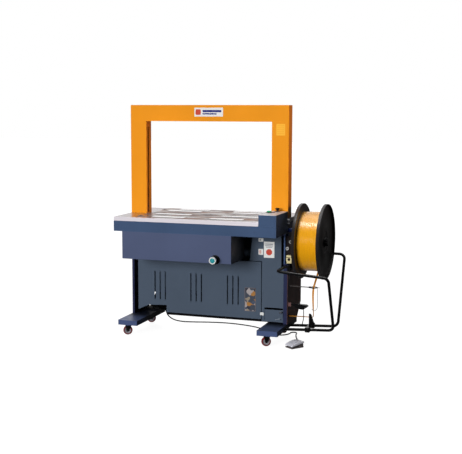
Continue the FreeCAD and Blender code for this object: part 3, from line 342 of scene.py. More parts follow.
BOX_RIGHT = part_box("electric_box")[1].x
TABLE_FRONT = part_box("table_top")[0].y
RIB_FROM, RIB_TO = 0.7785, 0.7797
ORANGE = srgb(240, 152, 28)
BLUE = srgb(66, 86, 118)
VIOLET = srgb(82, 92, 122)
SLATE = srgb(78, 90, 106)
finishes = {
    "orange": paint("orange_powder_coat", ORANGE, 0.38, 0.05, 1.25),
    "blue": paint("blue_powder_coat", BLUE, 0.4, 0.12, 1.6),
    # The feet's coat turns nearly black towards the rear: painted shade under the body.
    "foot_blue": paint("foot_blue_powder_coat", srgb(72, 86, 124), 0.4, 0.1, 1.5, painted_shade=(1, -0.13, -0.05)),
    # The electric box's right end face is painted nearly black: painted shade on the side turned away from
    # the light.
    "violet": paint("violet_powder_coat", VIOLET, 0.42, 0.07, 1.5,
                    painted_shade=(0, BOX_RIGHT - 0.0015, BOX_RIGHT - 0.0005)),
    "slate": paint("slate_powder_coat", SLATE, 0.42, 0.06, 1.5),
    "dark": paint("dark_powder_coat", srgb(40, 34, 34), 0.45, 0.15, 1.8),
    "side": paint("brown_grey_powder_coat", srgb(112, 82, 80), 0.45, 0.2, 1.3),
    "black": paint("black_gloss_paint", srgb(11, 11, 12), 0.3, 0.1, 1.6),
    # The frame's posts get a darker copy of the blue coat: painted shade, as the posts stand in shade.
    "frame_shade_blue": paint("frame_shade_blue_coat", srgb(43, 48, 78), 0.4, 0.1, 1.4),
    "pitch": paint("shaded_black_paint", srgb(12, 12, 15), 0.6, 0.1, 1.2),
    "pale": paint("pale_grey_paint", srgb(206, 206, 210), 0.35, 0.04, 1.15),
    "motor": paint("motor_blue_paint", srgb(38, 64, 140), 0.3, 0.1, 1.5),
    "table_plate": table_rim("brushed_table", (0.50, 0.46, 0.47), (0.80, 0.75, 0.80), TABLE_FRONT + 0.0005),
    "lid_steel": table_steel("brushed_lid", (0.46, 0.41, 0.40), (1.0, 0.97, 0.97), RIB_FROM, RIB_TO),
    "zinc": steel("zinc_plated_steel", (0.62, 0.63, 0.66), 0.32, (40, 40, 40), 0.00002, 0.1),
    "ground": steel("ground_steel", (0.6, 0.6, 0.6), 0.25, (60, 400, 400), 0.00001, 0.05),
    "cast": cast("painted_casting", srgb(62, 66, 70)),
    "black_plastic": plastic("black_plastic", srgb(24, 24, 26), 0.4),
    "white_plastic": plastic("white_plastic", srgb(225, 226, 224), 0.35, cloud=0.03, edge_wear_and_highlight=1.05),
    "cream_plastic": plastic("cream_nylon", srgb(226, 214, 165), 0.42, cloud=0.05, edge_wear_and_highlight=1.1),
    "green_plastic": plastic("green_lens", srgb(20, 150, 100), 0.22, 0.00001),
    "pink_plastic": plastic("pale_red_lens", srgb(235, 200, 190), 0.25, 0.00001),
    "plate": plastic("white_plate", srgb(236, 236, 234), 0.3, 0.00001, 300, 0.03, 1.05),
    "ink_grey": plastic("grey_print", srgb(150, 152, 158), 0.4, 0.00001),
    "ink_red": plastic("red_print", srgb(205, 80, 64), 0.4, 0.00001),
    "print": instruction_print("muted_print"),
    "tread": rubber("red_tread", srgb(120, 34, 40), 0.45),
    "cord": rubber("cord_sheath", srgb(40, 40, 42), 0.5),
    "reel": paint("reel_satin_black", srgb(36, 33, 34), 0.36, 0.2, 2.2, 0.0001, 9.0),
    "switch": paint("silver_paint", srgb(214, 214, 224), 0.35, 0.06, 1.1),
    "coil": strap_finish("wound_strap", srgb(248, 172, 12), (900, 12, 12)),
    "strap": strap_finish("strap", srgb(216, 146, 52), (300, 300, 300)),
    "brown_plastic": plastic("brown_plastic", srgb(70, 54, 42), 0.4),
    "bright_rod": steel("bright_rod", (0.42, 0.39, 0.38), 0.35, (40, 40, 40), 0.00001, 0.05),
    "bright": steel("polished_knob", (0.92, 0.92, 0.92), 0.2, (40, 40, 40), 0.00001, 0.02),
    "dark_steel": steel("dark_steel", (0.16, 0.15, 0.17), 0.4, (40, 40, 40), 0.00002, 0.1),
    "gloss_black": plastic("gloss_black_plastic", srgb(16, 16, 18), 0.25, 0.00001),
    "wheel_hub": paint("wheel_hub_paint", srgb(150, 148, 154), 0.35, 0.12, 1.2),
    "switch_dark": paint("switch_base_paint", srgb(92, 84, 84), 0.45, 0.15, 1.3),
    "bar_blue": paint("bar_blue_paint", srgb(72, 92, 132), 0.35, 0.08, 1.5),
    "slate_light": paint("pull_grey_paint", srgb(128, 138, 150), 0.4, 0.06, 1.3),
    "teal_lens": plastic("teal_lens", srgb(52, 150, 158), 0.2, 0.00001, 300, 0.05, 1.1),
    "leg_plate": plastic("amber_plate", srgb(255, 188, 62), 0.35, 0.00001, 300, 0.03, 1.0),
    "leg_ink": plastic("amber_print", srgb(246, 170, 44), 0.35, 0.00001, 300, 0.03, 1.0),
    "ink_navy": plastic("navy_print", srgb(54, 62, 128), 0.4, 0.00001),
    "ink_rose": plastic("rose_print", srgb(214, 176, 168), 0.4, 0.00001),
    "print_edge": plastic("print_border", srgb(122, 108, 104), 0.4, 0.00001),
}


CORNERS = ("front_left", "front_right", "rear_left", "rear_right")
# Finishes of the CAD nodes that are shown as they are.
COATS = {
    "orange": "arch_leg_left arch_leg_right arch_beam",
    "blue": "apron_panels control_box",
    "frame_shade_blue": "frame",
    "foot_blue": "feet",
    "violet": "electric_box",
    "slate": "front_panel rear_panel column_cover service_door",
    "dark": "reel_bracket feeder_plate",
    "pitch": "base_tray",
    "side": "side_covers",
    "black": "stand_tube_front stand_tube_rear guide_post",
    "table_plate": "table_top",
    "lid_steel": "lid_left lid_right head_cover",
    "pale": "control_top_plate",
    "black_plastic": "strap_track button_collars reel_knob cord_gland",
    "zinc": "caster_plates " + " ".join("caster_fork_" + corner for corner in CORNERS),
    "ground": "reel_shaft cam_shaft track_gates",
    "cast": "sealing_head main_motor",
}
for finish, names in COATS.items():
    for name in names.split():
        mesh = nodes[name].data
        if not mesh.materials:
            mesh.materials.append(None)
        for index in range(len(mesh.materials)):
            mesh.materials[index] = finishes[finish]


# ---- mesh helpers ----
MACHINE_HALF_W, BODY_FRONT, APRON_FACE = 0.535, -0.040, -0.3135
RIGHT, UP = (1, 0, 0), (0, 0, 1)


def finish_mesh(name, bm, finish, body, smooth_angle=35):
    """Turn a bmesh into a piece that rides on a body, or on none, and stays flat with no angle."""
    bmesh.ops.recalc_face_normals(bm, faces=bm.faces)
    mesh = bpy.data.meshes.new(name)
    bm.to_mesh(mesh)
    bm.free()
    if smooth_angle:
        mesh.shade_smooth()
        mesh.set_sharp_from_angle(angle=math.radians(smooth_angle))
    mesh.materials.append(finishes[finish])
    piece = new_object(name, mesh)
    if body:
        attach(piece, body)
    return piece


def basis(axis, up=Vector((0, 0, 1))):
    """Rotation whose local Z is the axis."""
    z = Vector(axis).normalized()
    if abs(z.dot(up)) > 0.95:
        up = Vector((1, 0, 0))
    x = up.cross(z).normalized()
    return Matrix((x, z.cross(x), z)).transposed().to_4x4()


def add_lathe(bm, profile, origin, axis, segments=64):
    """Closed profile of (radius, distance along the axis), turned round the axis."""
    place = Matrix.Translation(origin) @ basis(axis)
    rings = []
    for k in range(segments):
        angle = 2 * math.pi * k / segments
        rings.append([bm.verts.new(place @ Vector((r * math.cos(angle), r * math.sin(angle), d)))
                      if r > 1e-7 or k == 0 else None for r, d in profile])
    first = rings[0]
    for k in range(segments):
        near, far = rings[k], rings[(k + 1) % segments]
        for i in range(len(profile)):
            j = (i + 1) % len(profile)
            corners = [near[i] or first[i], near[j] or first[j], far[j] or first[j], far[i] or first[i]]
            distinct = list(dict.fromkeys(corners))
            if len(distinct) > 2:
                bm.faces.new(distinct)


def add_box(bm, low, high, bevel=0.0, turn=None, segments=2):
    """Box between two corners, with bevelled edges; turn is a matrix applied at the end."""
    low, high = Vector(low), Vector(high)
    made = bmesh.ops.create_cube(bm, size=1)
    verts = made["verts"]
    for v in verts:
        v.co = Vector([(a + b) / 2 + c * (b - a) for a, b, c in zip(low, high, v.co)])
    if bevel:
        edges = list({e for v in verts for e in v.link_edges})
        result = bmesh.ops.bevel(bm, geom=edges, offset=bevel, segments=segments, affect="EDGES",
                                 profile=0.5)
        verts = result["verts"]
    if turn is not None:
        for v in verts:
            v.co = turn @ v.co
    return verts


def rounded(points, radius, steps=4):
    """Outline with each corner that has a radius rounded off; points are 2-D."""
    result = []
    count = len(points)
    for i, point in enumerate(points):
        corner = Vector(point)
        before, after = Vector(points[i - 1]), Vector(points[(i + 1) % count])
        into, out = (before - corner), (after - corner)
        room = min(radius, 0.45 * into.length, 0.45 * out.length)
        a, b = corner + into.normalized() * room, corner + out.normalized() * room
        for k in range(steps + 1):
            t = k / steps
            result.append(a * (1 - t) ** 2 + corner * 2 * t * (1 - t) + b * t * t)
    return result


def smooth_line(points, steps=8):
    """Catmull-Rom points through the given ones."""
    pts = [Vector(p) for p in points]
    pts = [pts[0] * 2 - pts[1]] + pts + [pts[-1] * 2 - pts[-2]]
    line = []
    for a, b, c, d in zip(pts, pts[1:], pts[2:], pts[3:]):
        for k in range(steps):
            t = k / steps
            line.append(0.5 * ((2 * b) + (c - a) * t + (2 * a - 5 * b + 4 * c - d) * t ** 2
                               + (3 * b - a - 3 * c + d) * t ** 3))
    return line + [pts[-2]]


def lathe(name, profile, origin, axis, finish, body, segments=64, smooth_angle=35):
    bm = bmesh.new()
    add_lathe(bm, profile, origin, axis, segments)
    return finish_mesh(name, bm, finish, body, smooth_angle)


def add_tube(bm, line, radius, segments=12, closed=False):
    """Round bar along a line of points."""
    count = len(line)
    rings, side = [], None
    for i, point in enumerate(line):
        before = line[i - 1] if i or closed else point
        after = line[(i + 1) % count] if i < count - 1 or closed else point
        along = (after - before).normalized()
        if side is None:
            side = along.cross(Vector((0.31, 0.52, 0.79))).normalized()
        side = (side - along * side.dot(along)).normalized()
        other = along.cross(side)
        rings.append([bm.verts.new(point + (side * math.cos(a) + other * math.sin(a)) * radius)
                      for a in [2 * math.pi * k / segments for k in range(segments)]])
    for i in range(count if closed else count - 1):
        near, far = rings[i], rings[(i + 1) % count]
        for k in range(segments):
            bm.faces.new((near[k], near[(k + 1) % segments], far[(k + 1) % segments], far[k]))
    if not closed:
        bm.faces.new(rings[0])
        bm.faces.new(rings[-1])


def add_ribbon(bm, line, across, width, thickness, twist=0.0):
    """Flat strip along a line; across is the direction of its width, turned by twist about Z on the way."""
    rings = []
    for i, point in enumerate(line):
        turned = min(1.0, i / (len(line) - 1) * 1.6) * twist
        wide = (Matrix.Rotation(turned, 3, "Z") @ Vector(across)).normalized() * width / 2
        along = (line[min(i + 1, len(line) - 1)] - line[max(i - 1, 0)]).normalized()
        thick = along.cross(wide).normalized() * thickness / 2
        rings.append([bm.verts.new(point + offset) for offset in
                      (wide + thick, thick - wide, -wide - thick, wide - thick)])
    for near, far in zip(rings, rings[1:]):
        for k in range(4):
            bm.faces.new((near[k], near[(k + 1) % 4], far[(k + 1) % 4], far[k]))
    bm.faces.new(rings[0])
    bm.faces.new(rings[-1])


def add_slab(bm, outline, origin, right, up, depth):
    """Flat piece with a 2-D outline, from its face at origin back along right x up."""
    right, up = Vector(right), Vector(up)
    back = right.cross(up) * -depth
    face = [bm.verts.new(Vector(origin) + right * p[0] + up * p[1]) for p in outline]
    rear = [bm.verts.new(v.co + back) for v in face]
    bm.faces.new(face)
    bm.faces.new(rear)
    for k in range(len(face)):
        j = (k + 1) % len(face)
        bm.faces.new((face[k], face[j], rear[j], rear[k]))


def rectangle(x0, x1, y0, y1, radius=0.0):
    corners = [(x0, y0), (x1, y0), (x1, y1), (x0, y1)]
    return rounded(corners, radius) if radius else [Vector(c) for c in corners]


# ---- foot switch cord ----
CORD_D = 0.008
CORD_ROUTE = [
    (0.6405, -0.1498, 0.014), (0.649, -0.1385, 0.014), (0.651, -0.120, 0.0098), (0.643, -0.099, 0.0054),
    (0.630, -0.076, 0.0042), (0.613, -0.047, 0.0042), (0.596, -0.013, 0.0042), (0.580, 0.027, 0.0042),
    (0.567, 0.066, 0.0042), (0.557, 0.104, 0.0042), (0.551, 0.134, 0.0042), (0.548, 0.160, 0.0042),
    (0.536, 0.172, 0.0042), (0.520, 0.172, 0.0042), (0.508, 0.160, 0.0042), (0.509, 0.140, 0.0042),
    (0.506, 0.116, 0.0042), (0.497, 0.093, 0.0042), (0.477, 0.071, 0.0042), (0.447, 0.063, 0.0042),
    (0.414, 0.080, 0.0042), (0.371, 0.132, 0.0042), (0.319, 0.182, 0.0042), (0.261, 0.228, 0.0042),
    (0.193, 0.258, 0.0042), (0.122, 0.277, 0.0042), (0.047, 0.289, 0.0042), (-0.030, 0.286, 0.0042),
    (-0.104, 0.273, 0.0042), (-0.172, 0.253, 0.0042), (-0.232, 0.238, 0.0042), (-0.283, 0.224, 0.006),
    (-0.324, 0.204, 0.016), (-0.352, 0.182, 0.036), (-0.368, 0.160, 0.064), (-0.372, 0.150, 0.094)]


def make_cord():
    curve = bpy.data.curves.new("switch_cord", "CURVE")
    curve.dimensions = "3D"
    spline = curve.splines.new("NURBS")
    spline.points.add(len(CORD_ROUTE) - 1)
    for point, place in zip(spline.points, CORD_ROUTE):
        point.co = (*at(*place), 1)
    spline.order_u = 3
    spline.use_endpoint_u = True
    spline.resolution_u = 8
    curve.bevel_depth = CORD_D / 2
    curve.bevel_resolution = 4
    curve.materials.append(finishes["cord"])
    piece = new_object("switch_cord", curve)
    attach(piece, "machine")
    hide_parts("foot_switch_cord")


# ---- reel and strap coil ----
REEL_Y, REEL_Z, REEL_R, COIL_R, REEL_HUB, SHAFT_R = -0.006, 0.637, 0.236, 0.186, 0.060, 0.0121
REEL_IN, REEL_OUT, REEL_LIP = 0.624, 0.763, 0.016
STRAP_W, WRAPS = 0.012, 11


def make_flange(name, inside, outward, with_core):
    """Pressed disc with a stepped middle, a shallow bead and a rolled lip; outward is +1 or -1."""
    plate = 0.003

    def x(distance):
        return inside + outward * distance
    profile = [(SHAFT_R, x(0)), (REEL_R - 0.0016, x(0)), (REEL_R, x(0.0014)),
               (REEL_R, x(plate + REEL_LIP - 0.001)), (REEL_R - 0.0006, x(plate + REEL_LIP)),
               (REEL_R - 0.0018, x(plate + REEL_LIP - 0.0006)),
               (REEL_R - 0.002, x(plate + 0.0022)), (REEL_R - 0.0044, x(plate)),
               (0.2140, x(plate)), (0.2105, x(plate + 0.0016)), (0.2070, x(plate)),
               (0.1030, x(plate)), (0.0960, x(plate + 0.0030)), (0.0700, x(plate + 0.0030)),
               (0.0660, x(plate)), (SHAFT_R, x(plate))]
    bm = bmesh.new()
    add_lathe(bm, profile, at(0, REEL_Y, REEL_Z), RIGHT, 128)
    if with_core:
        start, end = REEL_IN + 0.0035, REEL_OUT - 0.0040
        inner_r = REEL_HUB - 0.004
        core = [(inner_r, start), (REEL_HUB, start), (REEL_HUB, end), (inner_r, end)]
        add_lathe(bm, core, at(0, REEL_Y, REEL_Z), RIGHT, 64)
    return finish_mesh(name, bm, "reel", "reel")


def make_reel():
    inner = make_flange("reel_inner_disc", REEL_IN + 0.003, -1, True)
    outer = make_flange("reel_outer_disc", REEL_OUT - 0.003, 1, False)
    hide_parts("reel_flange_inner")
    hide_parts("reel_flange_outer")
    start = REEL_IN + 0.0035
    profile = [(REEL_HUB + 0.0004, start)]
    for wrap in range(WRAPS):
        x0 = start + wrap * STRAP_W
        high = COIL_R - chance.uniform(0.0, 0.0009)
        profile += [(high - 0.0009, x0 + 0.0001), (high, x0 + 0.0009), (high, x0 + STRAP_W - 0.0009),
                    (high - 0.0009, x0 + STRAP_W - 0.0001)]
    profile.append((REEL_HUB + 0.0004, start + WRAPS * STRAP_W - 0.0002))
    coil = lathe("coil_wraps", profile, at(0, REEL_Y, REEL_Z), RIGHT, "coil", "reel",
                 160, 25)
    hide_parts("strap_coil")


# ---- dancer arm and the strap's way into the machine ----
PIVOT_X, ARM_Y, PIVOT_Z, ARM_Z, RING_X = 0.550, -0.048, 0.523, 0.352, 0.707
POST_X, PIN_Y, PIN_Z = 0.679, -0.008, 0.159


def points(*places):
    return [at(*p) for p in places]


def make_dancer():
    hub = bmesh.new()
    low, high = 0.498, 0.549
    for z0, z1, half in ((low, 0.507, 0.0165), (0.508, 0.533, 0.0180), (0.535, high, 0.0172)):
        near, far = at(PIVOT_X - half, ARM_Y - half, z0), at(PIVOT_X + half, ARM_Y + half - 0.001, z1)
        add_box(hub, near, far, 0.0022)
    hub = finish_mesh("dancer_hub", hub, "cream_plastic", "dancer")
    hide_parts("dancer_arm")
    core = bmesh.new()
    add_box(core, at(PIVOT_X - 0.013, ARM_Y - 0.013, low + 0.002),
            at(PIVOT_X + 0.013, ARM_Y + 0.013, high - 0.002))
    add_lathe(core, [(0, -0.0215), (0.0075, -0.0215), (0.009, -0.0205), (0.009, -0.017), (0, -0.017)],
              at(PIVOT_X, ARM_Y, PIVOT_Z), (0, 1, 0), 32)
    finish_mesh("dancer_hub_core", core, "brown_plastic", "dancer")

    rod = bmesh.new()
    bend = 0.010
    corner = [at(PIVOT_X + bend * (1 - math.cos(a)), ARM_Y, ARM_Z + bend * (1 - math.sin(a)))
              for a in [math.pi / 2 * k / 6 for k in range(7)]]
    add_tube(rod, [at(PIVOT_X, ARM_Y, low + 0.004)] + corner + [at(RING_X - 0.0215, ARM_Y, ARM_Z)], 0.003)
    finish_mesh("dancer_rod", rod, "bright_rod", "dancer")
    ring = bmesh.new()
    circle = [at(RING_X + 0.022 * math.cos(a), ARM_Y + 0.022 * math.sin(a), ARM_Z)
              for a in [2 * math.pi * k / 48 for k in range(48)]]
    add_tube(ring, circle, 0.003, 12, True)
    add_tube(ring, points((RING_X + 0.023, ARM_Y, ARM_Z), (RING_X + 0.038, ARM_Y, ARM_Z)), 0.0017)
    add_box(ring, at(RING_X - 0.031, ARM_Y - 0.005, ARM_Z - 0.005),
            at(RING_X - 0.020, ARM_Y + 0.005, ARM_Z + 0.005), 0.001)
    finish_mesh("dancer_ring", ring, "dark_steel", "dancer")
    loop = bmesh.new()
    add_tube(loop, smooth_line(points((RING_X + 0.023, ARM_Y, ARM_Z), (RING_X + 0.025, ARM_Y, 0.320),
                                      (RING_X + 0.026, ARM_Y, 0.272), (RING_X + 0.025, ARM_Y, 0.230),
                                      (RING_X + 0.016, ARM_Y, 0.210), (RING_X + 0.002, ARM_Y, 0.205),
                                      (RING_X - 0.012, ARM_Y, 0.216))), 0.0013, 8)
    finish_mesh("dancer_loop", loop, "bright_rod", "dancer")


def make_strap():
    """Coil to ring, ring to the guide post, and under its pin into the side of the machine."""
    reach = COIL_R + 0.001
    away = Vector((ARM_Y + 0.008 - REEL_Y, ARM_Z + 0.004 - REEL_Z))
    angle = math.atan2(away.y, away.x) + math.acos(reach / away.length)
    leave = (0.714, REEL_Y + reach * math.cos(angle), REEL_Z + reach * math.sin(angle))
    ring = (RING_X - 0.002, ARM_Y + 0.004, ARM_Z - 0.002)
    turn = (RING_X - 0.003, ARM_Y + 0.008, 0.214)
    upper = bmesh.new()
    add_ribbon(upper, smooth_line(points(leave, (0.711, (leave[1] + ring[1]) / 2, (leave[2] + ring[2]) / 2),
                                         (RING_X + 0.001, ARM_Y + 0.007, ARM_Z + 0.010), ring), 6),
               (1, 0.15, 0), STRAP_W, 0.0009)
    upper = finish_mesh("strap_upper", upper, "strap", None, None)
    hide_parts("strap_lead")
    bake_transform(upper)
    lower = bmesh.new()
    post = (POST_X + 0.017, PIN_Y, PIN_Z - 0.003)
    add_ribbon(lower, smooth_line(points(ring, (RING_X - 0.005, ARM_Y + 0.005, 0.300), turn,
                                         (RING_X - 0.004, ARM_Y + 0.020, 0.182), post), 6),
               (1, 0.35, 0), STRAP_W, 0.0009, math.radians(-75))
    lower = finish_mesh("strap_lower", lower, "strap", None, None)
    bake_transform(lower)
    entry = bmesh.new()
    add_ribbon(entry, smooth_line(points(post, (POST_X + 0.008, PIN_Y, PIN_Z - 0.0052),
                                         (POST_X - 0.008, PIN_Y, PIN_Z - 0.0050), (0.600, -0.005, 0.1525),
                                         (0.508, 0.0, 0.150)), 6), (0, 1, 0.25), STRAP_W, 0.0009)
    finish_mesh("strap_entry", entry, "strap", "machine")


# ---- casters ----
WHEEL_R, WHEEL_W = 0.030, 0.022


def make_wheel(corner):
    joint = joints["wheel_spin_" + corner]
    origin, axis = Vector(joint["pos_m"]), Vector(joint["axis"])
    w = WHEEL_W / 2
    side = [(WHEEL_R, w * 0.35), (0.0292, w - 0.0030), (0.0262, w), (0.0215, w), (0.0205, w - 0.002)]
    tread = lathe("tread_" + corner, [(r, -d) for r, d in reversed(side)] + side, origin, axis,
                  "tread", "wheel_" + corner, 64, 50)
    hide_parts("caster_wheel_" + corner)
    hub = bmesh.new()
    half = [(0.0043, w), (0.0090, w), (0.0098, w - 0.0012), (0.0104, w - 0.0045), (0.0172, w - 0.0045),
            (0.0182, w - 0.0012), (0.0204, w - 0.0012)]
    add_lathe(hub, half + [(r, -d) for r, d in reversed(half)], origin, axis, 48)
    finish_mesh("hub_" + corner, hub, "wheel_hub", "wheel_" + corner)


# ---- buttons ----
START_X, START_Z = 0.150, 0.538


def middle(node):
    low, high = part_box(node)
    return (low + high) / 2, low, high


def make_start_button():
    """White bezel round a teal lens, on a black barrel that comes out of a round guard."""
    low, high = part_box("start_button")
    origin = Vector((at(START_X, 0, 0).x, low.y, START_Z))
    bezel = lathe("start_bezel", [(0.0150, 0.0034), (0.0158, 0.0006), (0.0172, 0), (0.0212, 0.0006),
                                  (0.0228, 0.0028), (0.0230, 0.0060), (0.0230, 0.0130), (0.0150, 0.0130)],
                  origin, (0, 1, 0), "white_plastic", "start_button")
    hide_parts("start_button")
    lathe("start_lens", [(0, 0.0004), (0.0060, 0.0007), (0.0120, 0.0016), (0.0147, 0.0034),
                         (0.0147, 0.0132), (0.0060, 0.0132), (0.0060, high.y - low.y),
                         (0, high.y - low.y)],
          origin, (0, 1, 0), "teal_lens", "start_button")
    lathe("start_neck", [(0.0062, 0.0133), (0.0149, 0.0133), (0.0149, 0.0448), (0.0062, 0.0448)],
          origin, (0, 1, 0), "gloss_black", "start_button")
    lathe("start_guard", [(0.0156, 0.0185), (0.0190, 0.0185), (0.0196, 0.0192), (0.0196, 0.0470),
                          (0.0275, 0.0480), (0.0285, 0.0492), (0.0285, 0.0568), (0.0156, 0.0568)],
          origin, (0, 1, 0), "gloss_black", "machine")


def make_panel_buttons():
    """Green power button, pale stop button and the black knob, on top of the control box."""
    for node, finish, slot, dome in (("power_button", "green_plastic", "green_plastic", 0.0014),
                                     ("stop_button", "pink_plastic", "pale_plastic", 0.0010)):
        centre, low, high = middle(node)
        r = (high.x - low.x) / 2
        top = high.z - low.z
        profile = [(0, top), (r * 0.6, top - dome * 0.4), (r * 0.88, top - dome), (r, top - dome * 2.2)]
        rest = 0.0181
        profile += [(r, rest), (r * 0.4, rest), (r * 0.4, 0), (0, 0)]
        button = lathe(node + "_cap", profile, Vector((centre.x, centre.y, low.z)), UP, finish, node)
        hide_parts(node)
    centre, low, high = middle("tension_knob")
    r = (high.x - low.x) / 2
    top = high.z - low.z
    knob = bmesh.new()
    add_lathe(knob, [(0, top), (r * 0.55, top - 0.0004), (r * 0.9, top - 0.0030), (r, top - 0.0070),
                     (r * 0.93, top - 0.0105), (r * 0.60, top - 0.0125), (r * 0.55, 0.0182), (0.004, 0.0182),
                     (0.004, 0), (0, 0)], Vector((centre.x, centre.y, low.z)), UP, 48)
    add_box(knob, Vector((centre.x - 0.0008, centre.y - r + 0.003, high.z - 0.0026)),
            Vector((centre.x + 0.0008, centre.y - 0.002, high.z - 0.0001)), 0.0003)
    knob = finish_mesh("knob_cap", knob, "gloss_black", "tension_knob")
    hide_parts("tension_knob")


# ---- foot switch ----
SWITCH, SWITCH_TURN = (0.628, -0.203), math.radians(-37)


def make_pedal():
    """Silver hood: a lofted shell, narrower and lower at the toe, with grip ridges across it."""
    place = Matrix.Translation(at(*SWITCH, 0)) @ Matrix.Rotation(SWITCH_TURN, 4, "Z")
    stations = 46
    across = 24
    bm = bmesh.new()
    rows = []
    for i in range(stations + 1):
        t = i / stations
        y = -0.0495 + t * 0.0965
        rise = min(1.0, t / 0.78)
        top = 0.0205 + 0.0210 * math.sin(rise * math.pi / 2) - 0.0035 * max(0.0, (t - 0.86) / 0.14) ** 2
        toe = 1 - max(0.0, (0.10 - t) / 0.10) ** 2
        half = 0.0290 + 0.0065 * toe
        skirt = 0.0145 + 0.0150 * t ** 1.5
        top -= 0.0035 * (1 - toe)
        if 0.12 < t < 0.62:
            top += 0.0007 * max(0.0, math.sin((t - 0.12) * 2 * math.pi * 18))
        row = []
        for k in range(across + 1):
            s = -1 + 2 * k / across
            edge = max(0.0, (abs(s) - 0.62) / 0.38)
            x = half * (math.copysign(min(abs(s) / 0.80, 1.0), s))
            fall = 1 - math.sqrt(max(0.0, 1 - min(1.0, edge * 1.25) ** 2.2))
            z = top - (top - skirt) * (fall if edge * 1.25 < 1 else 1)
            row.append(bm.verts.new(place @ Vector((x, y, z))))
        rows.append(row)
    for near, far in zip(rows, rows[1:]):
        for k in range(across):
            bm.faces.new((near[k], near[k + 1], far[k + 1], far[k]))
    hood = finish_mesh("pedal_hood", bm, "switch", "foot_pedal", 60)
    shell = hood.modifiers.new("shell", "SOLIDIFY")
    shell.thickness = 0.0018
    shell.offset = -1
    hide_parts("foot_switch_pedal")
    base = bmesh.new()
    add_box(base, Vector((-0.0335, -0.0465, 0.0004)), Vector((0.0335, 0.0465, 0.0085)), 0.002, place)
    add_box(base, Vector((-0.0300, 0.0180, 0.0080)), Vector((0.0300, 0.0462, 0.0240)), 0.0015, place)
    for side in (-1, 1):
        ear = side * 0.0280
        add_box(base, Vector((ear - 0.0015, 0.0320, 0.0230)), Vector((ear + 0.0015, 0.0450, 0.0350)),
                0.0005, place)
    sleeve = [(0.0041, 0.0455), (0.0058, 0.0455), (0.0058, 0.0530), (0.0050, 0.0540), (0.0041, 0.0540)]
    add_lathe(base, sleeve, place @ Vector((-0.022, 0, 0.014)), place.to_3x3() @ Vector((0, 1, 0)), 24)
    base = finish_mesh("switch_base", base, "switch_dark", "machine")
    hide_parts("foot_switch_base")
    ends = bmesh.new()
    for side in (-1, 1):
        add_lathe(ends, [(0, 0.0325), (0.0021, 0.0325), (0.0021, 0.0343), (0, 0.0343)],
                  place @ Vector((0, 0.039, 0.031)), place.to_3x3() @ Vector((side, 0, 0)), 20)
    finish_mesh("switch_pin", ends, "zinc", "machine")


# ---- end lever ----
LEVER = (0.550, -0.016, 0.229)


def make_lever():
    x, y, z = LEVER
    blade = bmesh.new()
    outline = rounded([(0.026, -0.008), (0.058, -0.025), (0.086, -0.027), (0.118, -0.006), (0.104, 0.004),
                       (0.030, 0.006)], 0.006)
    add_slab(blade, outline, at(x, y - 0.0145, z), RIGHT, UP, 0.029)
    add_slab(blade, [Vector(p) for p in ((0.006, -0.003), (0.034, -0.012), (0.034, 0.005), (0.006, 0.003))],
             at(x, y - 0.004, z), RIGHT, UP, 0.008)
    eye = [(0.0031, -0.0055), (0.008, -0.0055), (0.008, 0.0055), (0.0031, 0.0055)]
    add_lathe(blade, eye, at(x, y, z), (0, 1, 0))
    blade = finish_mesh("lever_blade", blade, "gloss_black", "end_lever")
    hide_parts("end_lever")
    leg = bmesh.new()
    way = points((x + 0.085, y, z - 0.020), (x + 0.0865, y, 0.180), (x + 0.0855, y, 0.140),
                 (x + 0.078, y, 0.107))
    add_tube(leg, smooth_line(way, 6), 0.0026, 10)
    finish_mesh("lever_leg", leg, "bright_rod", "end_lever")


# ---- feeder on the right side ----
def make_feeder():
    bar = bmesh.new()
    add_box(bar, at(0.5105, -0.0445, 0.4912), at(0.5195, -0.0355, 0.6838), 0.0014)
    finish_mesh("guide_bar", bar, "bar_blue", "machine")
    for node in ("feed_roller", "pinch_roller"):
        centre, low, high = middle(node)
        r = (high.x - low.x) / 2
        half = (high.y - low.y) / 2
        side = [(0.0031, half), (0.0048, half), (0.0052, half - 0.0012), (r * 0.78, half - 0.0012),
                (r * 0.84, half), (r * 0.96, half), (r, half - 0.0009), (r, half - 0.0036),
                (r * 0.93, half - 0.0044)]
        roller = lathe(node + "_body", side + [(a, -d) for a, d in reversed(side)], centre, (0, 1, 0),
                       "white_plastic", node, 48)
        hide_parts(node)
        lathe(node + "_washer", [(0.0031, 0.0), (0.0060, 0.0), (0.0060, 0.0008), (0.0031, 0.0008)],
              Vector((centre.x, low.y - 0.0011, centre.z)), (0, 1, 0), "zinc", "machine", 24)
    y, z = -0.030, 0.704
    body = [(0, 0.533), (0.0125, 0.533), (0.0140, 0.5345)]
    for k in range(7):
        x0 = 0.5365 + 0.004 * k
        body += [(0.0140, x0), (0.0130, x0 + 0.0006), (0.0130, x0 + 0.0014), (0.0140, x0 + 0.0020)]
    body += [(0.0140, 0.5648), (0.0130, 0.5660), (0, 0.5660)]
    motor = lathe("motor_body", body, at(0, y, z), RIGHT, "motor", "machine", 48)
    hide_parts("feed_motor")
    lathe("motor_cap", [(0, 0.5663), (0.0108, 0.5663), (0.0110, 0.5735), (0.0095, 0.5758), (0, 0.5760)],
          at(0, y, z), RIGHT, "white_plastic", "machine", 48)
    bracket = bmesh.new()
    add_box(bracket, at(0.5162, -0.0478, 0.6902), at(0.5269, 0.0198, 0.7238), 0.0012)
    finish_mesh("motor_bracket", bracket, "dark", "machine")


# ---- plates ----
def plate(name, x0, x1, z0, z1, y, finish="plate", depth=0.0008, radius=0.002, slot="white_plate"):
    bm = bmesh.new()
    add_slab(bm, rectangle(x0, x1, z0, z1, radius), at(0, y - depth, 0), RIGHT, UP, depth)
    return finish_mesh(name, bm, finish, "machine")


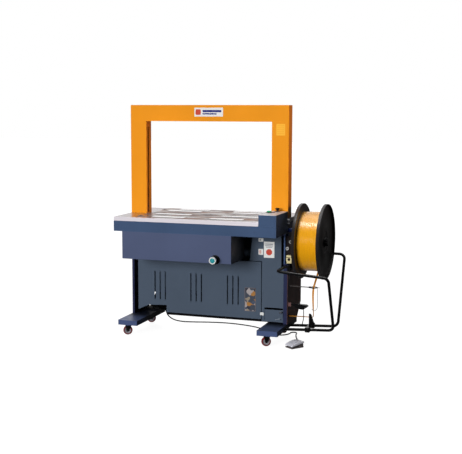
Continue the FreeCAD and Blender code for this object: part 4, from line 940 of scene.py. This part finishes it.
def marks(name, y, finish, *boxes, depth=0.0003):
    """Flat generic marks on a plate: each box is x0, x1, z0, z1."""
    bm = bmesh.new()
    for x0, x1, z0, z1 in boxes:
        radius = min(x1 - x0, z1 - z0) * 0.25
        add_slab(bm, rectangle(x0, x1, z0, z1, radius), at(0, y - depth, 0), RIGHT, UP, depth)
    return finish_mesh(name, bm, finish, "machine")


def make_plates():
    face = -0.040
    board = plate("beam_plate", -0.090, 0.103, 1.409, 1.465, face, depth=0.001)
    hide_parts("blank_plates")
    marks("beam_plate_bars", face - 0.001, "ink_navy", (-0.034, 0.092, 1.436, 1.450),
          (-0.034, 0.060, 1.422, 1.430))
    marks("beam_plate_block", face - 0.001, "ink_red", (-0.082, -0.046, 1.419, 1.455))
    plate("leg_plate", 0.454, 0.510, 1.294, 1.365, face, "leg_plate", 0.0005)
    marks("leg_plate_bars", face - 0.0005, "leg_ink",
          *[(0.460, 0.504, z, z + 0.0035) for z in (1.304, 1.316, 1.328, 1.340, 1.352)])
    plate("notice_plate", 0.379, 0.448, 0.523, 0.626, face)
    marks("notice_bars", face - 0.0008, "ink_grey", (0.388, 0.439, 0.607, 0.613),
          (0.388, 0.439, 0.597, 0.602), (0.392, 0.435, 0.588, 0.592))
    disc = bmesh.new()
    eighths = [math.pi / 4 * k + math.pi / 8 for k in range(8)]
    rim = [Vector((0.4135 + 0.021 * math.cos(a), 0.559 + 0.021 * math.sin(a))) for a in eighths]
    add_slab(disc, rim, at(0, face - 0.0012, 0), RIGHT, UP, 0.0004)
    finish_mesh("notice_mark", disc, "ink_red", "machine")
    plate("small_plate_high", 0.343, 0.375, 0.624, 0.646, face, radius=0.003)
    marks("small_plate_high_bar", face - 0.0008, "ink_grey", (0.348, 0.360, 0.630, 0.640))
    plate("small_plate_low", 0.343, 0.374, 0.540, 0.577, face, radius=0.003)
    marks("small_plate_low_bar", face - 0.0008, "ink_rose", (0.349, 0.362, 0.547, 0.570))
    plate("instruction_plate", 0.253, 0.326, 0.171, 0.323, face, "print")
    border = bmesh.new()
    for x0, x1, z0, z1 in ((0.253, 0.326, 0.3205, 0.323), (0.253, 0.326, 0.171, 0.1735),
                           (0.253, 0.2555, 0.171, 0.323), (0.3235, 0.326, 0.171, 0.323)):
        add_slab(border, rectangle(x0, x1, z0, z1), at(0, face - 0.0011, 0), RIGHT, UP, 0.0003)
    finish_mesh("instruction_border", border, "print_edge", "machine")


# ---- screws, latch and tags ----
def add_screw(bm, x, y, z, radius=0.0045, height=0.0024):
    """Domed head, facing the front."""
    add_lathe(bm, [(0, -height), (radius * 0.55, -height * 0.93), (radius * 0.86, -height * 0.68),
                   (radius, -height * 0.25), (radius, 0), (0, 0)], at(x, y, z), (0, 1, 0), 24)


def make_screws():
    heads = bmesh.new()
    for x, z in ((-0.470, 0.476), (-0.069, 0.476), (0.344, 0.476), (-0.270, 0.138), (0.344, 0.138),
                 (0.378, 0.670), (0.480, 0.670), (0.500, 0.300), (0.374, 0.300)):
        add_screw(heads, x, BODY_FRONT, z)
    heads = finish_mesh("panel_screws", heads, "slate", "machine")
    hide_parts("screws")
    apron = bmesh.new()
    for x in (-0.505, 0.0, 0.400):
        add_screw(apron, x, APRON_FACE, 0.720)
    finish_mesh("apron_screws", apron, "blue", "machine")
    bolts = bmesh.new()
    for x, z in ((MACHINE_HALF_W - 0.002, 0.742), (MACHINE_HALF_W, 0.766)):
        hexagon = [Vector((0.0078 * math.cos(a), 0.0078 * math.sin(a)))
                   for a in [math.pi / 3 * k for k in range(6)]]
        add_slab(bolts, hexagon, at(MACHINE_HALF_W + 0.0095, -0.030, z), (0, 1, 0), UP, 0.007)
        washer = MACHINE_HALF_W + 0.0028
        add_lathe(bolts, [(0, x), (0.008, x), (0.008, washer), (0, washer)], at(0, -0.030, z), RIGHT, 32)
    finish_mesh("arch_bolts", bolts, "zinc", "machine")
    latch = bmesh.new()
    add_lathe(latch, [(0, -0.0212), (0.0062, -0.0208), (0.0083, -0.0192), (0.0083, -0.0118),
                      (0.0055, -0.0112), (0.0045, -0.0108), (0.0045, -0.003), (0, -0.003)],
              at(0.497, BODY_FRONT, 0.178), (0, 1, 0), 32)
    finish_mesh("door_latch", latch, "bright", "service_door")
    pull = bmesh.new()
    way = points((0.461, -0.0425, 0.1295), (0.4615, -0.0500, 0.1300), (0.467, -0.0535, 0.1320),
                 (0.480, -0.0545, 0.1350), (0.491, -0.0535, 0.1380), (0.4945, -0.0500, 0.1400),
                 (0.495, -0.0425, 0.1405))
    add_tube(pull, smooth_line(way, 5), 0.0024, 10)
    finish_mesh("door_pull", pull, "slate_light", "service_door")
    tag = bmesh.new()
    add_slab(tag, rectangle(0.3565, 0.3805, 0.150, 0.169, 0.003), at(0, BODY_FRONT - 0.0016, 0),
             RIGHT, UP, 0.0014)
    finish_mesh("white_tag", tag, "white_plastic", "machine")


make_cord()
make_reel()
make_dancer()
make_strap()
for corner_name in CORNERS:
    make_wheel(corner_name)
make_start_button()
make_panel_buttons()
make_pedal()
make_lever()
make_feeder()
make_plates()
make_screws()


# ---- stage and light ----
def make_stage():
    """Pale floor that melts into the background and throws no light back up."""
    floor = new_object("floor", bpy.data.meshes.new("floor"))
    bm = bmesh.new()
    bmesh.ops.create_grid(bm, x_segments=1, y_segments=1, size=40)
    bm.to_mesh(floor.data)
    bm.free()
    f = Finish("pale_floor", (0.35, 0.35, 0.35), 0.9)
    f.paint_colour(f.blend(f.noise(0.8, 2), (0.34, 0.34, 0.34), (0.36, 0.36, 0.36)))
    f.shader.inputs["Specular IOR Level"].default_value = 0.0
    f.shader.inputs["Emission Color"].default_value = (1, 1, 1, 1)
    f.shader.inputs["Emission Strength"].default_value = 0.93
    floor.data.materials.append(f.material)
    floor.visible_diffuse = False
    floor.visible_glossy = False


AMBIENT, GLOSS, RIGHT_SHARE = 0.30, 0.95, 0.12
WARM = (1.0, 0.66, 0.55)


def add_light(name, kind, place, towards, strength, colour=(1, 1, 1), seen=False):
    """Lamp that points along towards; seen is whether it shows in reflections."""
    data = bpy.data.lights.new(name, kind)
    data.energy = strength
    data.color = colour
    light = new_object(name, data)
    turned = Vector(towards).to_track_quat("-Z", "Y").to_matrix().to_4x4()
    light.matrix_world = Matrix.Translation(place) @ turned
    light.visible_glossy = seen
    light.visible_camera = False
    return data


def add_sun(name, towards, strength, softness):
    add_light(name, "SUN", (0, 0, 0), towards, strength).angle = math.radians(softness)


def add_spot(name, place, target, power, cone, radius, colour=(1, 1, 1), seen=False):
    spot = add_light(name, "SPOT", place, target - place, power, colour, seen)
    spot.spot_size = math.radians(cone)
    spot.spot_blend = 0.7
    spot.shadow_soft_size = radius


def make_light():
    """Soft light from the front, a weaker one behind, and a studio that is dark on the right.

    Small spots add the sheen on the strap coil and lift the arch legs' right-hand faces.
    """
    world = bpy.data.worlds.new("studio")
    bpy.context.scene.world = world
    world.use_nodes = True
    studio = Nodes(world.node_tree)
    background = world.node_tree.nodes["Background"]
    background.inputs["Color"].default_value = (1, 1, 1, 1)
    x, y, z = studio.axes(studio.add("TexCoord").outputs["Generated"])
    left = studio.level(x, 0.25, -0.25, RIGHT_SHARE, 1.0, "SMOOTHSTEP")
    above = studio.level(z, -0.05, 0.12, 0.35, 1.0, "SMOOTHSTEP")
    rear = studio.level(y, -0.3, 0.3, 0.10, 1.0, "SMOOTHSTEP")
    softbox = studio.level(z, 0.72, 0.95, 0.0, 2.2, "SMOOTHSTEP")
    gloss = studio.maths("MULTIPLY", left, above)
    shiny = studio.maths("MULTIPLY", studio.maths("MULTIPLY", gloss, rear), GLOSS)
    path = studio.add("LightPath").outputs

    def pick(test, no, yes):
        mix = studio.add("Mix", data_type="FLOAT")
        studio.link(path[test], mix.inputs["Factor"])
        studio.link(no, mix.inputs[2])
        if isinstance(yes, float):
            mix.inputs[3].default_value = yes
        else:
            studio.link(yes, mix.inputs[3])
        return mix.outputs[0]

    soft = studio.maths("MULTIPLY", gloss, AMBIENT)
    lit = pick("Is Glossy Ray", soft, studio.maths("ADD", shiny, softbox))
    studio.link(pick("Is Camera Ray", lit, 1.0), background.inputs["Strength"])
    add_sun("key", (0.22, 0.95, -0.17), 2.65, 24)
    add_sun("behind", (0.35, -0.80, -0.45), 1.6, 30)
    add_spot("reel_top", at(0.22, -0.60, 2.60), at(0.69, -0.06, 0.72), 150, 14, 0.45, seen=True)
    add_spot("arch_side", at(2.6, -0.2, 1.65), at(0.2, 0, 1.25), 85, 34, 0.3, WARM)
    add_spot("left_leg", at(0.36, -0.35, 1.15), at(-0.43, 0, 1.12), 7, 60, 0.1, WARM)
    bpy.context.scene.view_settings.view_transform = "Standard"


make_stage()
make_light()
